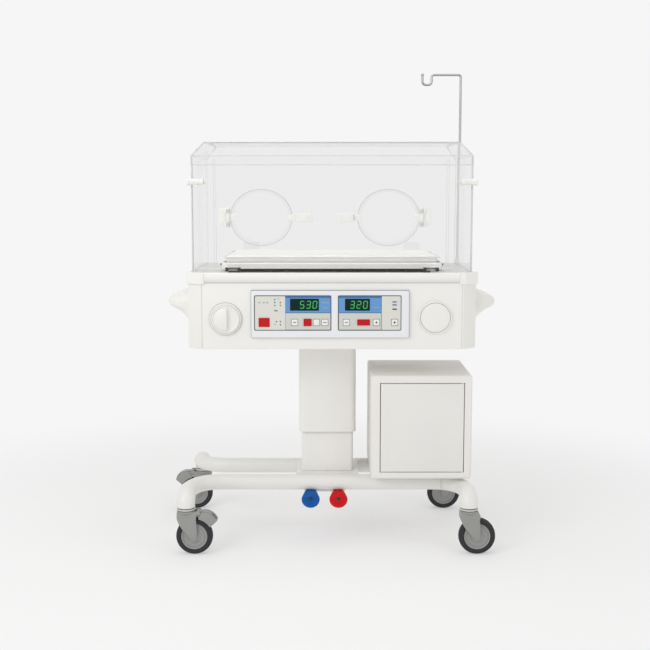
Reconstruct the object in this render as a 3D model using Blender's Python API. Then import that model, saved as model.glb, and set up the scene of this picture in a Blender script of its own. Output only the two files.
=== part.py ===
# Infant incubator on a height-adjustable trolley.
# Metres. X runs to the right, Y to the back and Z up, with the floor at Z = 0.

import math

import bmesh
import bpy
from mathutils import Matrix, Vector

# Fits and cuts shared by the whole part
FIT = 0.0003
RUN = 0.0005
OVERRUN = 0.004
WHEEL_STEPS = 16
ROUND_STEPS = 20
KNUCKLE_STEPS = 12
PIN_STEPS = 10
EAR_STEPS = 6
BEND_STEPS = 4
TUBE_SIDE_STEPS = 4
ROD_SIDE_STEPS = 2
CORNER_STEPS = 3
SMALL_CORNER_STEPS = 2
HEATER_STEPS = 16

# The body's centre and the trolley's centre, each from the part's middle plane
BODY_X = 0.0196
TROLLEY_X = 0.0046

# Trolley tubes
TRACK = 0.960
WHEELBASE = 0.554
TUBE_RADIUS = 0.027
TUBE_DROP = 0.0452
TUBE_SPACING = 0.240
TUBE_PLAN_BEND = 0.110
TUBE_DROP_BEND = 0.036

# Casters
WHEEL_RADIUS = 0.0625
WHEEL_WIDTH = 0.032
HUB_RADIUS = 0.0445
HUB_BOSS_RADIUS = 0.013
HUB_BOSS_PROUD = 0.002
HUB_RIM = 0.006
HUB_RIM_INSET = 0.0015
HUB_WEB = 0.016
TYRE_SHOULDER = 0.006
AXLE_RADIUS = 0.005
AXLE_CAP = 0.0015
CASTER_TRAIL = 0.028
COLLAR_RADIUS = 0.031
COLLAR_HEIGHT = 0.013
CROWN_RISE = 0.0242
CROWN_INSET = 0.002
STEM_RADIUS = 0.006
STEM_LENGTH = 0.026
FORK_WALL = 0.005
FORK_SIDE_GAP = 0.003
FORK_ARCH_GAP = 0.005
FORK_BOSS_RADIUS = 0.0225
FORK_FRONT_DROP = 0.022
FORK_BACK_DROP = 0.032

# Caster brakes
BRAKE_REACH = 0.042
BRAKE_HEIGHT = 0.1450
BRAKE_PIN_RADIUS = 0.003
BRAKE_BOSS_RADIUS = 0.0075
BRAKE_WIDTH = 0.024
BRAKE_SIDE_GAP = 0.001
BRAKE_CHEEK = 0.010
BRAKE_LENGTH = 0.068
BRAKE_DROP = 0.026
BRAKE_TIP = 0.020
BRAKE_PLATE = 0.012

# Column foot and lifting column
FOOT_WIDTH = 0.220
FOOT_THICKNESS = 0.056
FOOT_LIP = 0.012
COLUMN_WIDTH = 0.183
COLUMN_DEPTH = 0.130
COLUMN_TOP = 0.600
COLUMN_WALL = 0.005
COLUMN_CORNER = 0.012
COLUMN_RUN = 0.0005
SLEEVE_WALL = 0.0085
SLEEVE_BOTTOM = 0.377
ACTUATOR_RADIUS = 0.022
ACTUATOR_TOP = 0.500
ACTUATOR_BASE_RADIUS = 0.034
ACTUATOR_BASE = 0.008
ROD_RADIUS = 0.012
ROD_BOTTOM = 0.330
ROD_STROKE_SPACE = 0.090
ROD_FLANGE_RADIUS = 0.030
ROD_FLANGE = 0.006

# Foot pedals
PEDAL_SPACING = 0.097
PEDAL_MIDDLE = -0.010
PEDAL_PIVOT_Y = -0.060
PEDAL_PIVOT_Z = 0.160
PEDAL_PIN_RADIUS = 0.004
PEDAL_BOSS_RADIUS = 0.009
PEDAL_ARM_WIDTH = 0.034
PEDAL_ARM = 0.010
PEDAL_REACH = 0.112
PEDAL_PAD_RADIUS = 0.031
PEDAL_PAD = 0.012
PEDAL_PAD_EDGE = 0.003
PEDAL_DISH = 0.002
PEDAL_TILT_ANGLE = 50.0
PEDAL_BRACKET_PLATE = 0.005
PEDAL_EAR = 0.005
PEDAL_SIDE_GAP = 0.001

# Cabinet beside the column
CABINET_LEFT = 0.1490
CABINET_WIDTH = 0.3465
CABINET_FRONT = -0.210
CABINET_DEPTH = 0.360
CABINET_HEIGHT = 0.361
CABINET_WALL = 0.015
CABINET_FRAME = 0.026
CABINET_FRAME_DEPTH = 0.022
CABINET_EDGE = 0.006
CRADLE_PLATE = 0.0055
CRADLE_DEPTH = 0.016
CRADLE_INSET = 0.030
DOOR_THICKNESS = 0.018
DOOR_GAP = 0.0025
DOOR_PAN = 0.012
DOOR_PAN_EDGE = 0.020
DOOR_PIVOT_INSET = 0.005
DOOR_PIN_RADIUS = 0.003
DOOR_PIN_LENGTH = 0.010
DOOR_EDGE = 0.0015

# Tub and deck
TUB_WIDTH = 0.966
TUB_DEPTH = 0.510
TUB_BOTTOM = 0.699
TUB_TOP = 0.9233
TUB_WALL = 0.005
TUB_CHAMFER_X = 0.044
TUB_CHAMFER_Y = 0.030
TUB_FOOT_TAPER = 0.004
DECK_TOP = 0.956
DECK_PROUD = 0.0035
DECK_WALL = 0.005
DECK_STEP = 0.003
CORNER_CAP_PROUD = 0.0025
CORNER_CAP_LENGTH = 0.062
CORNER_CAP_DEPTH = 0.050
CORNER_CAP_DROP = 0.0035
SLOT_LENGTH = 0.180
SLOT_WIDTH = 0.010
SLOT_PITCH = 0.220
SLOT_INSET = 0.033

# Side handles: reach and height from the tub's side, with the outline as shares of both
HANDLE_REACH = 0.0825
HANDLE_BOTTOM = 0.786
HANDLE_HEIGHT = 0.102
HANDLE_LENGTH = 0.340
HANDLE_SHARES = [
    (0.00, 1.00),
    (0.42, 0.91),
    (0.80, 0.77),
    (0.96, 0.69),
    (1.00, 0.60),
    (0.94, 0.52),
    (0.72, 0.42),
    (0.42, 0.28),
    (0.18, 0.14),
    (0.00, 0.00),
]
HANDLE_END_SHARES = [(0.0, 0.30), (0.04, 0.62), (0.12, 0.88), (0.24, 1.0)]

# Control panel
BEZEL_LEFT = -0.2694
BEZEL_RIGHT = 0.2569
BEZEL_BOTTOM = 0.7397
BEZEL_TOP = 0.8966
BEZEL_THICKNESS = 0.0127
BEZEL_CORNER = 0.008
MODULE_BOTTOM = 0.7640
MODULE_TOP = 0.8815
LEFT_MODULE_START = -0.2593
LEFT_MODULE_END = -0.0024
RIGHT_MODULE_START = 0.0201
RIGHT_MODULE_END = 0.2310
MODULE_RECESS = 0.0015
DISPLAY_BOTTOM = 0.8306
DISPLAY_TOP = 0.8706
LEFT_DISPLAY_START = -0.1399
LEFT_DISPLAY_END = -0.0437
RIGHT_DISPLAY_START = 0.0431
RIGHT_DISPLAY_END = 0.1262
DISPLAY_THICKNESS = 0.003
KEY_Z = 0.7912
KEY_PROUD = 0.003
KEY_DEPTH = 0.0105
KEY_EDGE = 0.0015
POWER_X = -0.2264
POWER_WIDTH = 0.036
POWER_HEIGHT = 0.030
LEFT_RED_X = -0.0815
LEFT_RED_WIDTH = 0.026
LEFT_RED_HEIGHT = 0.024
RIGHT_RED_X = 0.1053
RIGHT_RED_WIDTH = 0.042
RIGHT_RED_HEIGHT = 0.020
PAD_SIDE = 0.021
PAD_PROUD = 0.0006
LEFT_PADS_X = [-0.1248, -0.0520, -0.0240]
RIGHT_PADS_X = [0.0480, 0.1481, 0.2088]

# Tilt knob and filter cap on the front
KNOB_X = -0.3562
KNOB_Z = 0.8012
KNOB_RADIUS = 0.054
KNOB_FACE_RADIUS = 0.048
KNOB_FLANGE = 0.008
KNOB_RIDGE = 0.004
KNOB_DISH = 0.0025
KNOB_GRIP_RADIUS = 0.042
KNOB_GRIP_END = 0.006
KNOB_GRIP_PROUD = 0.009
KNOB_GRIP_ROUND = 0.004
KNOB_SHAFT_RADIUS = 0.006
KNOB_SHAFT_LENGTH = 0.026
CAP_X = 0.3457
CAP_Z = 0.8063
CAP_RADIUS = 0.0555
CAP_RING = 0.010
CAP_THICKNESS = 0.010
CAP_DISH = 0.0035
CAP_NECK_RADIUS = 0.040
CAP_NECK_LENGTH = 0.018
CAP_NECK_WALL = 0.004

# Fan and heater inside the tub
FAN_X = 0.120
MOTOR_RADIUS = 0.036
MOTOR_HEIGHT = 0.055
FAN_RADIUS = 0.062
FAN_HEIGHT = 0.030
FAN_GAP = 0.006
FAN_PLATE = 0.003
FAN_BLADE = 0.002
FAN_BLADE_COUNT = 7
FAN_BLADE_INNER = 0.034
FAN_SHAFT_RADIUS = 0.004
FAN_SHAFT_LENGTH = 0.030
HEATER_RADIUS = 0.092
HEATER_TUBE_RADIUS = 0.0045
HEATER_HEIGHT = 0.080
HEATER_BEND = 0.014
HEATER_GAP_ANGLE = 36.0

# Mattress tray and its tilt
TRAY_SIDE_INSET = 0.110
TRAY_FRONT_INSET = 0.055
TRAY_RISE = 0.0145
TRAY_HEIGHT = 0.0165
TRAY_WALL = 0.003
TRAY_CORNER = 0.020
MATTRESS_GAP = 0.003
MATTRESS_HEIGHT = 0.034
MATTRESS_CORNER = 0.018
TILT_INSET = 0.043
PIVOT_RISE = 0.0070
PIVOT_PIN_RADIUS = 0.003
PIVOT_BOSS_RADIUS = 0.006
PIVOT_WIDTH = 0.020
PIVOT_EAR = 0.006
PIVOT_INSET = 0.060
TILT_ROD_RADIUS = 0.008
TILT_HEAD_RADIUS = 0.011
TILT_HEAD = 0.006
TILT_ROD_BOTTOM = 0.730

# Drip pole and its hook, in the plane of the pole
POLE_SIDE_INSET = 0.007
POLE_BACK_INSET = 0.035
POLE_RADIUS = 0.0045
POLE_RISE = 0.260
POLE_SOCKET = 0.022
POLE_COLLAR = 0.018
POLE_COLLAR_RADIUS = 0.0085
POLE_BOSS_RADIUS = 0.012
POLE_BEND = 0.010
POLE_ARM = 0.107
HOOK_WIDTH = 0.034
HOOK_DROP = 0.036
HOOK_BEND = 0.012
HOOK_BALL_RADIUS = 0.006

# Clear hood
HOOD_SIDE_INSET = 0.016
HOOD_FRONT_INSET = 0.010
HOOD_BACK_INSET = 0.020
HOOD_WALL = 0.005
HOOD_WALL_TOP = 1.3436
HOOD_TOP = 1.3900
HOOD_SLOPE = 0.041
HOOD_SILL = 0.0125
HINGE_BACK_INSET = 0.007
HINGE_RISE = 0.011
HINGE_INSET = 0.167
HINGE_PIN_RADIUS = 0.004
HINGE_KNUCKLE_RADIUS = 0.0085
HINGE_KNUCKLE = 0.030
HINGE_EAR = 0.010
HINGE_LEAF_WIDTH = 0.060
HINGE_LEAF_HEIGHT = 0.060
HINGE_LEAF = 0.005

# Front access panel of the hood
PANEL_THICKNESS = 0.006
PANEL_TOP = 1.3139
PANEL_HINGE_PROUD = 0.0075
PANEL_HINGE_INSET = 0.137
PANEL_HINGE_LENGTH = 0.030
PANEL_PIN_RADIUS = 0.0022
PANEL_KNUCKLE_RADIUS = 0.0050
LATCH_Z = 1.2570
LATCH_RADIUS = 0.0125
LATCH_LENGTH = 0.046
LATCH_KNOB = 0.010
LATCH_GROOVE = 0.002
LATCH_PIN_RADIUS = 0.004
LATCH_EAR = 0.005
LATCH_OVERHANG = 0.013
LATCH_TAB = 0.009
LATCH_TAB_WIDTH = 0.012

# Hand ports
LEFT_PORT_SHARE = -0.25118
RIGHT_PORT_SHARE = 0.20054
PORT_RISE_SHARE = 0.493
PORT_WIDTH_SHARE = 0.0985
PORT_HALF_HEIGHT = 0.0830
PORT_OVERLAP = 0.0097
PORT_DOOR_THICKNESS = 0.004
PORT_DISH = 0.009
PORT_DISH_SHARE = 0.90
PORT_FACE_SHARE = 0.82
PORT_STEPS = 24
PORT_HINGE_REACH = 0.008
PORT_HINGE_PROUD = 0.0075
PORT_PIN_RADIUS = 0.0028
PORT_KNUCKLE_RADIUS = 0.0065
PORT_KNUCKLE = 0.024
PORT_HINGE_HEIGHT = 0.066
PORT_BRACKET_REACH = 0.040
PORT_BRACKET = 0.006
PORT_ARM_REACH = 0.020
PORT_TONGUE_REACH = 0.016
PORT_TONGUE_HEIGHT = 0.020
PORT_NOSE = 0.010
PORT_NOSE_THICKNESS = 0.0025
PORT_LATCH_LENGTH = 0.062
PORT_LATCH_HEIGHT = 0.028
PORT_LATCH_THICKNESS = 0.016
PORT_LATCH_TRAVEL = 0.005
PORT_RAIL_LENGTH = 0.020
PORT_RAIL_HEIGHT = 0.010
PORT_RAIL = 0.0045

# Places worked out from the sizes above
HOOD_WIDTH = TUB_WIDTH - 2 * HOOD_SIDE_INSET
HOOD_FRONT = -TUB_DEPTH / 2 + HOOD_FRONT_INSET
HOOD_BACK = TUB_DEPTH / 2 - HOOD_BACK_INSET
HINGE_X = HOOD_WIDTH / 2 - HINGE_INSET
PANEL_HINGE_X = HOOD_WIDTH / 2 - PANEL_HINGE_INSET
LATCH_END = HOOD_WIDTH / 2 + LATCH_OVERHANG
LEFT_PORT_X = LEFT_PORT_SHARE * HOOD_WIDTH
RIGHT_PORT_X = RIGHT_PORT_SHARE * HOOD_WIDTH
PORT_HALF_WIDTH = PORT_WIDTH_SHARE * HOOD_WIDTH
TRAY_WIDTH = TUB_WIDTH - 2 * TRAY_SIDE_INSET
TRAY_DEPTH = TUB_DEPTH - 2 * TRAY_FRONT_INSET
TILT_ARM = TRAY_WIDTH / 2 - TILT_INSET
PIVOT_Y = TRAY_DEPTH / 2 - PIVOT_INSET
HINGE_Y = TUB_DEPTH / 2 - HINGE_BACK_INSET
SLOT_Y = TUB_DEPTH / 2 - SLOT_INSET
POLE_X = TUB_WIDTH / 2 - POLE_SIDE_INSET
POLE_Y = TUB_DEPTH / 2 - POLE_BACK_INSET
POLE_TOP = HOOD_TOP + POLE_RISE
CROWN_TOP = 2 * WHEEL_RADIUS + CROWN_RISE
FORK_TOP = CROWN_TOP + COLLAR_HEIGHT
TUBE_END = FORK_TOP + FIT
TUBE_HEIGHT = TUBE_END + TUBE_DROP
TUBE_TOP = TUBE_HEIGHT + TUBE_RADIUS
FORK_HALF = WHEEL_WIDTH / 2 + FORK_SIDE_GAP + FORK_WALL
TUB_FRONT = -TUB_DEPTH / 2
FRONT_FACE = TUB_FRONT - FIT
BEZEL_FACE = FRONT_FACE - BEZEL_THICKNESS
MODULE_FACE = BEZEL_FACE + MODULE_RECESS
DECK_BOTTOM = TUB_TOP + FIT
HOOD_BOTTOM = DECK_TOP + FIT
PANEL_BOTTOM = HOOD_BOTTOM + HOOD_SILL + FIT
PANEL_FACE = HOOD_FRONT
PANEL_BACK = HOOD_FRONT + PANEL_THICKNESS
PANEL_HINGE_Y = PANEL_FACE - PANEL_HINGE_PROUD
PORT_Z = PANEL_BOTTOM + PORT_RISE_SHARE * (PANEL_TOP - PANEL_BOTTOM)
HINGE_Z = DECK_TOP + HINGE_RISE
CABINET_BOTTOM = TUBE_TOP + FIT + CRADLE_PLATE + FIT
TRAY_BOTTOM = DECK_TOP + TRAY_RISE
PIVOT_Z = DECK_TOP + PIVOT_RISE
COLUMN_X = TROLLEY_X - BODY_X


def clear_scene():
    for item in list(bpy.data.objects):
        bpy.data.objects.remove(item, do_unlink=True)


def make_material(name, colour, roughness, metallic=0.0, alpha=1.0):
    material = bpy.data.materials.new(name)
    material.use_nodes = True
    shader = material.node_tree.nodes["Principled BSDF"]
    shader.inputs["Base Color"].default_value = (*colour, 1.0)
    shader.inputs["Roughness"].default_value = roughness
    shader.inputs["Metallic"].default_value = metallic
    shader.inputs["Alpha"].default_value = alpha
    return material


# Meshes. Each helper returns a bmesh in the frame of the piece's parent.


def points_along(axis, first, second, along):
    # A point from its place along an axis and its two places across it, in X, Y, Z order
    if axis == "X":
        return Vector((along, first, second))
    if axis == "Y":
        return Vector((first, along, second))
    return Vector((first, second, along))


def prism(outline, axis, low, high):
    # An outline across an axis, extruded from low to high
    mesh = bmesh.new()
    corners = [mesh.verts.new(points_along(axis, a, b, low)) for a, b in outline]
    face = mesh.faces.new(corners)
    made = bmesh.ops.extrude_face_region(mesh, geom=[face], use_keep_orig=True)
    moved = [item for item in made["geom"] if isinstance(item, bmesh.types.BMVert)]
    bmesh.ops.translate(mesh, verts=moved, vec=points_along(axis, 0, 0, high - low))
    bmesh.ops.recalc_face_normals(mesh, faces=mesh.faces)
    return mesh


def block(low, high, radius=0.0, steps=2, along=None):
    # A box from corner to corner, its edges rounded, or only those that run along one axis
    low = Vector(low)
    high = Vector(high)
    mesh = bmesh.new()
    size = Matrix.Diagonal((*(high - low), 1))
    bmesh.ops.create_cube(mesh, size=1, matrix=Matrix.Translation((low + high) / 2) @ size)
    if radius:
        edges = list(mesh.edges)
        if along is not None:
            edges = [
                edge
                for edge in edges
                if abs((edge.verts[0].co - edge.verts[1].co)["XYZ".index(along)]) > radius
            ]
        bmesh.ops.bevel(
            mesh,
            geom=edges,
            offset=radius,
            segments=steps,
            profile=0.5,
            affect="EDGES",
            material=-1,
        )
    bmesh.ops.recalc_face_normals(mesh, faces=mesh.faces)
    return mesh


def turned(profile, axis, centre, steps, ring=False):
    # A profile of radius and place along the axis, spun all the way round
    mesh = bmesh.new()
    line = [mesh.verts.new(points_along(axis, 0, 0, along)) for _, along in profile]
    outward = Vector((1, 0, 0)) if axis != "X" else Vector((0, 0, 1))
    for vert, (radius, _) in zip(line, profile):
        vert.co += outward * radius
    pairs = list(zip(line, line[1:]))
    if ring:
        pairs.append((line[-1], line[0]))
    edges = [mesh.edges.new(pair) for pair in pairs]
    bmesh.ops.spin(
        mesh,
        geom=line + edges,
        cent=(0, 0, 0),
        axis=points_along(axis, 0, 0, 1),
        angle=2 * math.pi,
        steps=steps,
        use_merge=True,
    )
    bmesh.ops.remove_doubles(mesh, verts=mesh.verts, dist=FIT / 100)
    bmesh.ops.translate(mesh, verts=mesh.verts, vec=centre)
    bmesh.ops.recalc_face_normals(mesh, faces=mesh.faces)
    return mesh


def rod(axis, centre, radius, low, high, steps=PIN_STEPS):
    # A plain round bar along an axis, centred on the other two
    return turned([(0, low), (radius, low), (radius, high), (0, high)], axis, centre, steps)


def loft(rings):
    # Rings of equal count joined into one closed skin, with the end rings capped
    mesh = bmesh.new()
    loops = [[mesh.verts.new(point) for point in ring] for ring in rings]
    for near, far in zip(loops, loops[1:]):
        for i, vert in enumerate(near):
            j = (i + 1) % len(near)
            mesh.faces.new((vert, near[j], far[j], far[i]))
    mesh.faces.new(loops[0])
    mesh.faces.new(list(reversed(loops[-1])))
    bmesh.ops.recalc_face_normals(mesh, faces=mesh.faces)
    return mesh


def swept(path, radius, side_steps=TUBE_SIDE_STEPS):
    # A round tube along a path, with its ends filled
    curve = bpy.data.curves.new("sweep", "CURVE")
    curve.dimensions = "3D"
    curve.bevel_depth = radius
    curve.bevel_resolution = side_steps
    curve.render_resolution_u = 0
    curve.use_fill_caps = True
    spline = curve.splines.new("POLY")
    spline.points.add(len(path) - 1)
    for point, place in zip(spline.points, path):
        point.co = (*place, 1)
    holder = bpy.data.objects.new("sweep", curve)
    mesh = bmesh.new()
    solid = bpy.data.meshes.new_from_object(holder)
    mesh.from_mesh(solid)
    bmesh.ops.remove_doubles(mesh, verts=mesh.verts, dist=FIT / 100)
    bmesh.ops.recalc_face_normals(mesh, faces=mesh.faces)
    bpy.data.objects.remove(holder)
    bpy.data.curves.remove(curve)
    bpy.data.meshes.remove(solid)
    return mesh


# Outlines and paths


def arc(centre, radius, start, end, steps):
    # Points on an arc from one angle to another, in degrees
    points = []
    for i in range(steps + 1):
        angle = math.radians(start + (end - start) * i / steps)
        points.append((centre[0] + radius * math.cos(angle), centre[1] + radius * math.sin(angle)))
    return points


def rounded_outline(low, high, radius, steps=CORNER_STEPS):
    # A rectangle with round corners
    left, bottom = low
    right, top = high
    outline = arc((right - radius, top - radius), radius, 0, 90, steps)
    outline += arc((left + radius, top - radius), radius, 90, 180, steps)
    outline += arc((left + radius, bottom + radius), radius, 180, 270, steps)
    outline += arc((right - radius, bottom + radius), radius, 270, 360, steps)
    return outline


def cornered_outline(half_x, half_y, cut_x, cut_y):
    # A rectangle about the origin with its corners cut off
    return [
        (half_x, -half_y + cut_y),
        (half_x, half_y - cut_y),
        (half_x - cut_x, half_y),
        (-half_x + cut_x, half_y),
        (-half_x, half_y - cut_y),
        (-half_x, -half_y + cut_y),
        (-half_x + cut_x, -half_y),
        (half_x - cut_x, -half_y),
    ]


def filleted(points, radii, steps=BEND_STEPS):
    # A path through points whose inner corners are bent to the given radii
    points = [Vector(point) for point in points]
    path = [points[0]]
    for before, corner, after, radius in zip(points, points[1:], points[2:], radii):
        into = (before - corner).normalized()
        out = (after - corner).normalized()
        half = into.angle(out) / 2
        start = corner + into * radius / math.tan(half)
        middle = corner + (into + out).normalized() * radius / math.sin(half)
        turn = math.pi - 2 * half
        axis = into.cross(out).normalized()
        for i in range(steps + 1):
            spin = Matrix.Rotation(-turn * i / steps, 3, axis)
            path.append(middle + spin @ (start - middle))
    path.append(points[-1])
    return path


# Objects


def to_object(mesh, name):
    data = bpy.data.meshes.new(name)
    mesh.to_mesh(data)
    mesh.free()
    item = bpy.data.objects.new(name, data)
    bpy.context.scene.collection.objects.link(item)
    return item


def joined(base, others, operation):
    # A mesh made from a base and others by Booleans in turn
    item = to_object(base, "base")
    helpers = []
    for i, other in enumerate(others):
        helper = to_object(other, f"cutter_{i}")
        helper.hide_render = True
        helper.display_type = "WIRE"
        change = item.modifiers.new(f"change_{i}", "BOOLEAN")
        change.operation = operation
        change.solver = "EXACT"
        change.object = helper
        helpers.append(helper)
    bpy.context.view_layer.update()
    depsgraph = bpy.context.evaluated_depsgraph_get()
    data = bpy.data.meshes.new_from_object(item.evaluated_get(depsgraph))
    mesh = bmesh.new()
    mesh.from_mesh(data)
    for helper in helpers + [item]:
        bpy.data.objects.remove(helper, do_unlink=True)
    bpy.data.meshes.remove(data)
    return mesh


def cut(base, *others):
    return joined(base, others, "DIFFERENCE")


def fused(base, *others):
    return joined(base, others, "UNION")


def place(mesh, name, material, parent, origin=(0, 0, 0), smooth=35.0):
    # One named piece. Its mesh is in its parent's frame, and its origin goes to its joint's axis.
    origin = Vector(origin)
    bmesh.ops.translate(mesh, verts=mesh.verts, vec=-origin)
    item = to_object(mesh, name)
    item.parent = parent
    item.location = origin
    finish(item, material, smooth)
    return item


def finish(item, material, smooth=35.0):
    item.data.materials.clear()
    item.data.materials.append(material)
    item.data.shade_smooth()
    item.data.set_sharp_from_angle(angle=math.radians(smooth))


def frame_at(name, place_x):
    empty = bpy.data.objects.new(name, None)
    empty.location = (place_x, 0, 0)
    bpy.context.scene.collection.objects.link(empty)
    return empty


# Trolley


def make_tube(name, side, trolley, finish_of):
    # A bent tube: straight under the column, curving out to the casters and down to their stems
    half = TRACK / 2
    far = side * WHEELBASE / 2
    near = side * TUBE_SPACING / 2
    corners = [
        (-half, far, TUBE_END),
        (-half, far, TUBE_HEIGHT),
        (-half, near, TUBE_HEIGHT),
        (half, near, TUBE_HEIGHT),
        (half, far, TUBE_HEIGHT),
        (half, far, TUBE_END),
    ]
    radii = [TUBE_DROP_BEND, TUBE_PLAN_BEND, TUBE_PLAN_BEND, TUBE_DROP_BEND]
    tube = swept(filleted(corners, radii), TUBE_RADIUS)
    sockets = [
        rod(
            "Z",
            (x, far, 0),
            STEM_RADIUS + RUN,
            TUBE_END - OVERRUN,
            TUBE_END + STEM_LENGTH + RUN,
            WHEEL_STEPS,
        )
        for x in (-half, half)
    ]
    return place(cut(tube, *sockets), name, finish_of["paint"], trolley)


def tube_cutter(side, low, high):
    # The space a tube's straight part takes, with the fit
    centre = (0, side * TUBE_SPACING / 2, TUBE_HEIGHT)
    # The polygon is drawn outside the tube, so its flats keep the fit
    radius = (TUBE_RADIUS + FIT) / math.cos(math.pi / ROUND_STEPS)
    return rod("X", centre, radius, low, high, ROUND_STEPS)


def make_foot(trolley, finish_of):
    # The cross piece that saddles both tubes and carries the column
    half = FOOT_WIDTH / 2
    reach = TUBE_SPACING / 2 - FOOT_LIP
    low = (-half, -reach, TUBE_TOP - FOOT_THICKNESS)
    base = block(low, (half, reach, TUBE_TOP))
    saddles = [tube_cutter(side, -half - OVERRUN, half + OVERRUN) for side in (-1, 1)]
    place(cut(base, *saddles), "column_foot", finish_of["paint"], trolley)


def column_shell(width, depth, wall, corner, low, high):
    outer = rounded_outline((-width / 2, -depth / 2), (width / 2, depth / 2), corner)
    inner_x = width / 2 - wall
    inner_y = depth / 2 - wall
    inner = rounded_outline((-inner_x, -inner_y), (inner_x, inner_y), corner - wall)
    solid = prism(outer, "Z", low, high)
    return cut(solid, prism(inner, "Z", low - OVERRUN, high + OVERRUN))


def make_column(trolley, body, finish_of):
    base = TUBE_TOP + FIT
    lower = column_shell(COLUMN_WIDTH, COLUMN_DEPTH, COLUMN_WALL, COLUMN_CORNER, base, COLUMN_TOP)
    place(lower, "lower_column", finish_of["paint"], trolley)

    # The sleeve runs outside the lower column with a sliding clearance
    grow = 2 * (COLUMN_RUN + SLEEVE_WALL)
    corner = COLUMN_CORNER + COLUMN_RUN + SLEEVE_WALL
    width = COLUMN_WIDTH + grow
    sleeve = column_shell(
        width, COLUMN_DEPTH + grow, SLEEVE_WALL, corner, SLEEVE_BOTTOM, TUB_BOTTOM - FIT
    )
    bmesh.ops.translate(sleeve, verts=sleeve.verts, vec=(COLUMN_X, 0, 0))
    place(sleeve, "column_sleeve", finish_of["paint"], body)

    bore = ROD_RADIUS + RUN
    foot = base + ACTUATOR_BASE
    floor = ROD_BOTTOM - ROD_STROKE_SPACE
    profile = [
        (0, base),
        (ACTUATOR_BASE_RADIUS, base),
        (ACTUATOR_BASE_RADIUS, foot),
        (ACTUATOR_RADIUS, foot),
        (ACTUATOR_RADIUS, ACTUATOR_TOP),
        (bore, ACTUATOR_TOP),
        (bore, floor),
        (0, floor),
    ]
    place(turned(profile, "Z", (0, 0, 0), WHEEL_STEPS), "lift_actuator", finish_of["steel"], trolley)

    top = TUB_BOTTOM - FIT
    profile = [
        (0, ROD_BOTTOM),
        (ROD_RADIUS, ROD_BOTTOM),
        (ROD_RADIUS, top - ROD_FLANGE),
        (ROD_FLANGE_RADIUS, top - ROD_FLANGE),
        (ROD_FLANGE_RADIUS, top),
        (0, top),
    ]
    piston = turned(profile, "Z", (COLUMN_X, 0, 0), WHEEL_STEPS)
    place(piston, "lift_rod", finish_of["steel"], body)


def make_pedals(trolley, finish_of):
    # A bracket under the foot holds one pin that both pedals rock on
    under = TUBE_TOP - FOOT_THICKNESS - FIT
    gap = PEDAL_ARM_WIDTH / 2 + PEDAL_SIDE_GAP
    half = PEDAL_SPACING / 2 + gap + PEDAL_EAR
    middle = PEDAL_MIDDLE
    back = PEDAL_PIVOT_Y + PEDAL_BOSS_RADIUS
    front = PEDAL_PIVOT_Y - PEDAL_BOSS_RADIUS
    plate = under - PEDAL_BRACKET_PLATE
    bracket = block((middle - half, front, plate), (middle + half, back, under))
    ears = []
    for centre in (middle - PEDAL_SPACING / 2, middle + PEDAL_SPACING / 2):
        for side in (-1, 1):
            inner = centre + side * gap
            outer = inner + side * PEDAL_EAR
            outline = [(front, plate + FIT), (back, plate + FIT)]
            outline += arc((PEDAL_PIVOT_Y, PEDAL_PIVOT_Z), PEDAL_BOSS_RADIUS, 0, -180, EAR_STEPS)
            ears.append(prism(outline, "X", min(inner, outer), max(inner, outer)))
    pin = rod("X", (middle, PEDAL_PIVOT_Y, PEDAL_PIVOT_Z), PEDAL_PIN_RADIUS, -half, half)
    place(fused(bracket, *ears, pin), "pedal_bracket", finish_of["steel"], trolley)

    for name, side, colour in (("pedal_up", -1, "blue"), ("pedal_down", 1, "red")):
        centre = middle + side * PEDAL_SPACING / 2
        pivot = (centre, PEDAL_PIVOT_Y, PEDAL_PIVOT_Z)
        half_arm = PEDAL_ARM_WIDTH / 2
        pad_y = PEDAL_PIVOT_Y - PEDAL_REACH
        low = (centre - half_arm, pad_y, PEDAL_PIVOT_Z - PEDAL_ARM / 2)
        arm = block(low, (centre + half_arm, PEDAL_PIVOT_Y, PEDAL_PIVOT_Z + PEDAL_ARM / 2))
        boss = rod("X", pivot, PEDAL_BOSS_RADIUS, -half_arm, half_arm, KNUCKLE_STEPS)
        profile = [
            (0, -PEDAL_PAD / 2),
            (PEDAL_PAD_RADIUS - PEDAL_PAD_EDGE, -PEDAL_PAD / 2),
            (PEDAL_PAD_RADIUS, -PEDAL_PAD / 2 + PEDAL_PAD_EDGE),
            (PEDAL_PAD_RADIUS, PEDAL_PAD / 2 - PEDAL_PAD_EDGE),
            (PEDAL_PAD_RADIUS - PEDAL_PAD_EDGE, PEDAL_PAD / 2),
            (0, PEDAL_PAD / 2 - PEDAL_DISH),
        ]
        pad = turned(profile, "Z", (0, 0, 0), WHEEL_STEPS)
        tilt = Matrix.Rotation(math.radians(PEDAL_TILT_ANGLE), 4, "X")
        spot = Matrix.Translation((centre, pad_y, PEDAL_PIVOT_Z - PEDAL_ARM / 2))
        bmesh.ops.transform(pad, matrix=spot @ tilt, verts=pad.verts)
        bore = rod("X", pivot, PEDAL_PIN_RADIUS + RUN, -half_arm - OVERRUN, half_arm + OVERRUN)
        pedal = cut(fused(arm, boss, pad), bore)
        place(pedal, name, finish_of[colour], trolley, pivot)


# Casters


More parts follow.
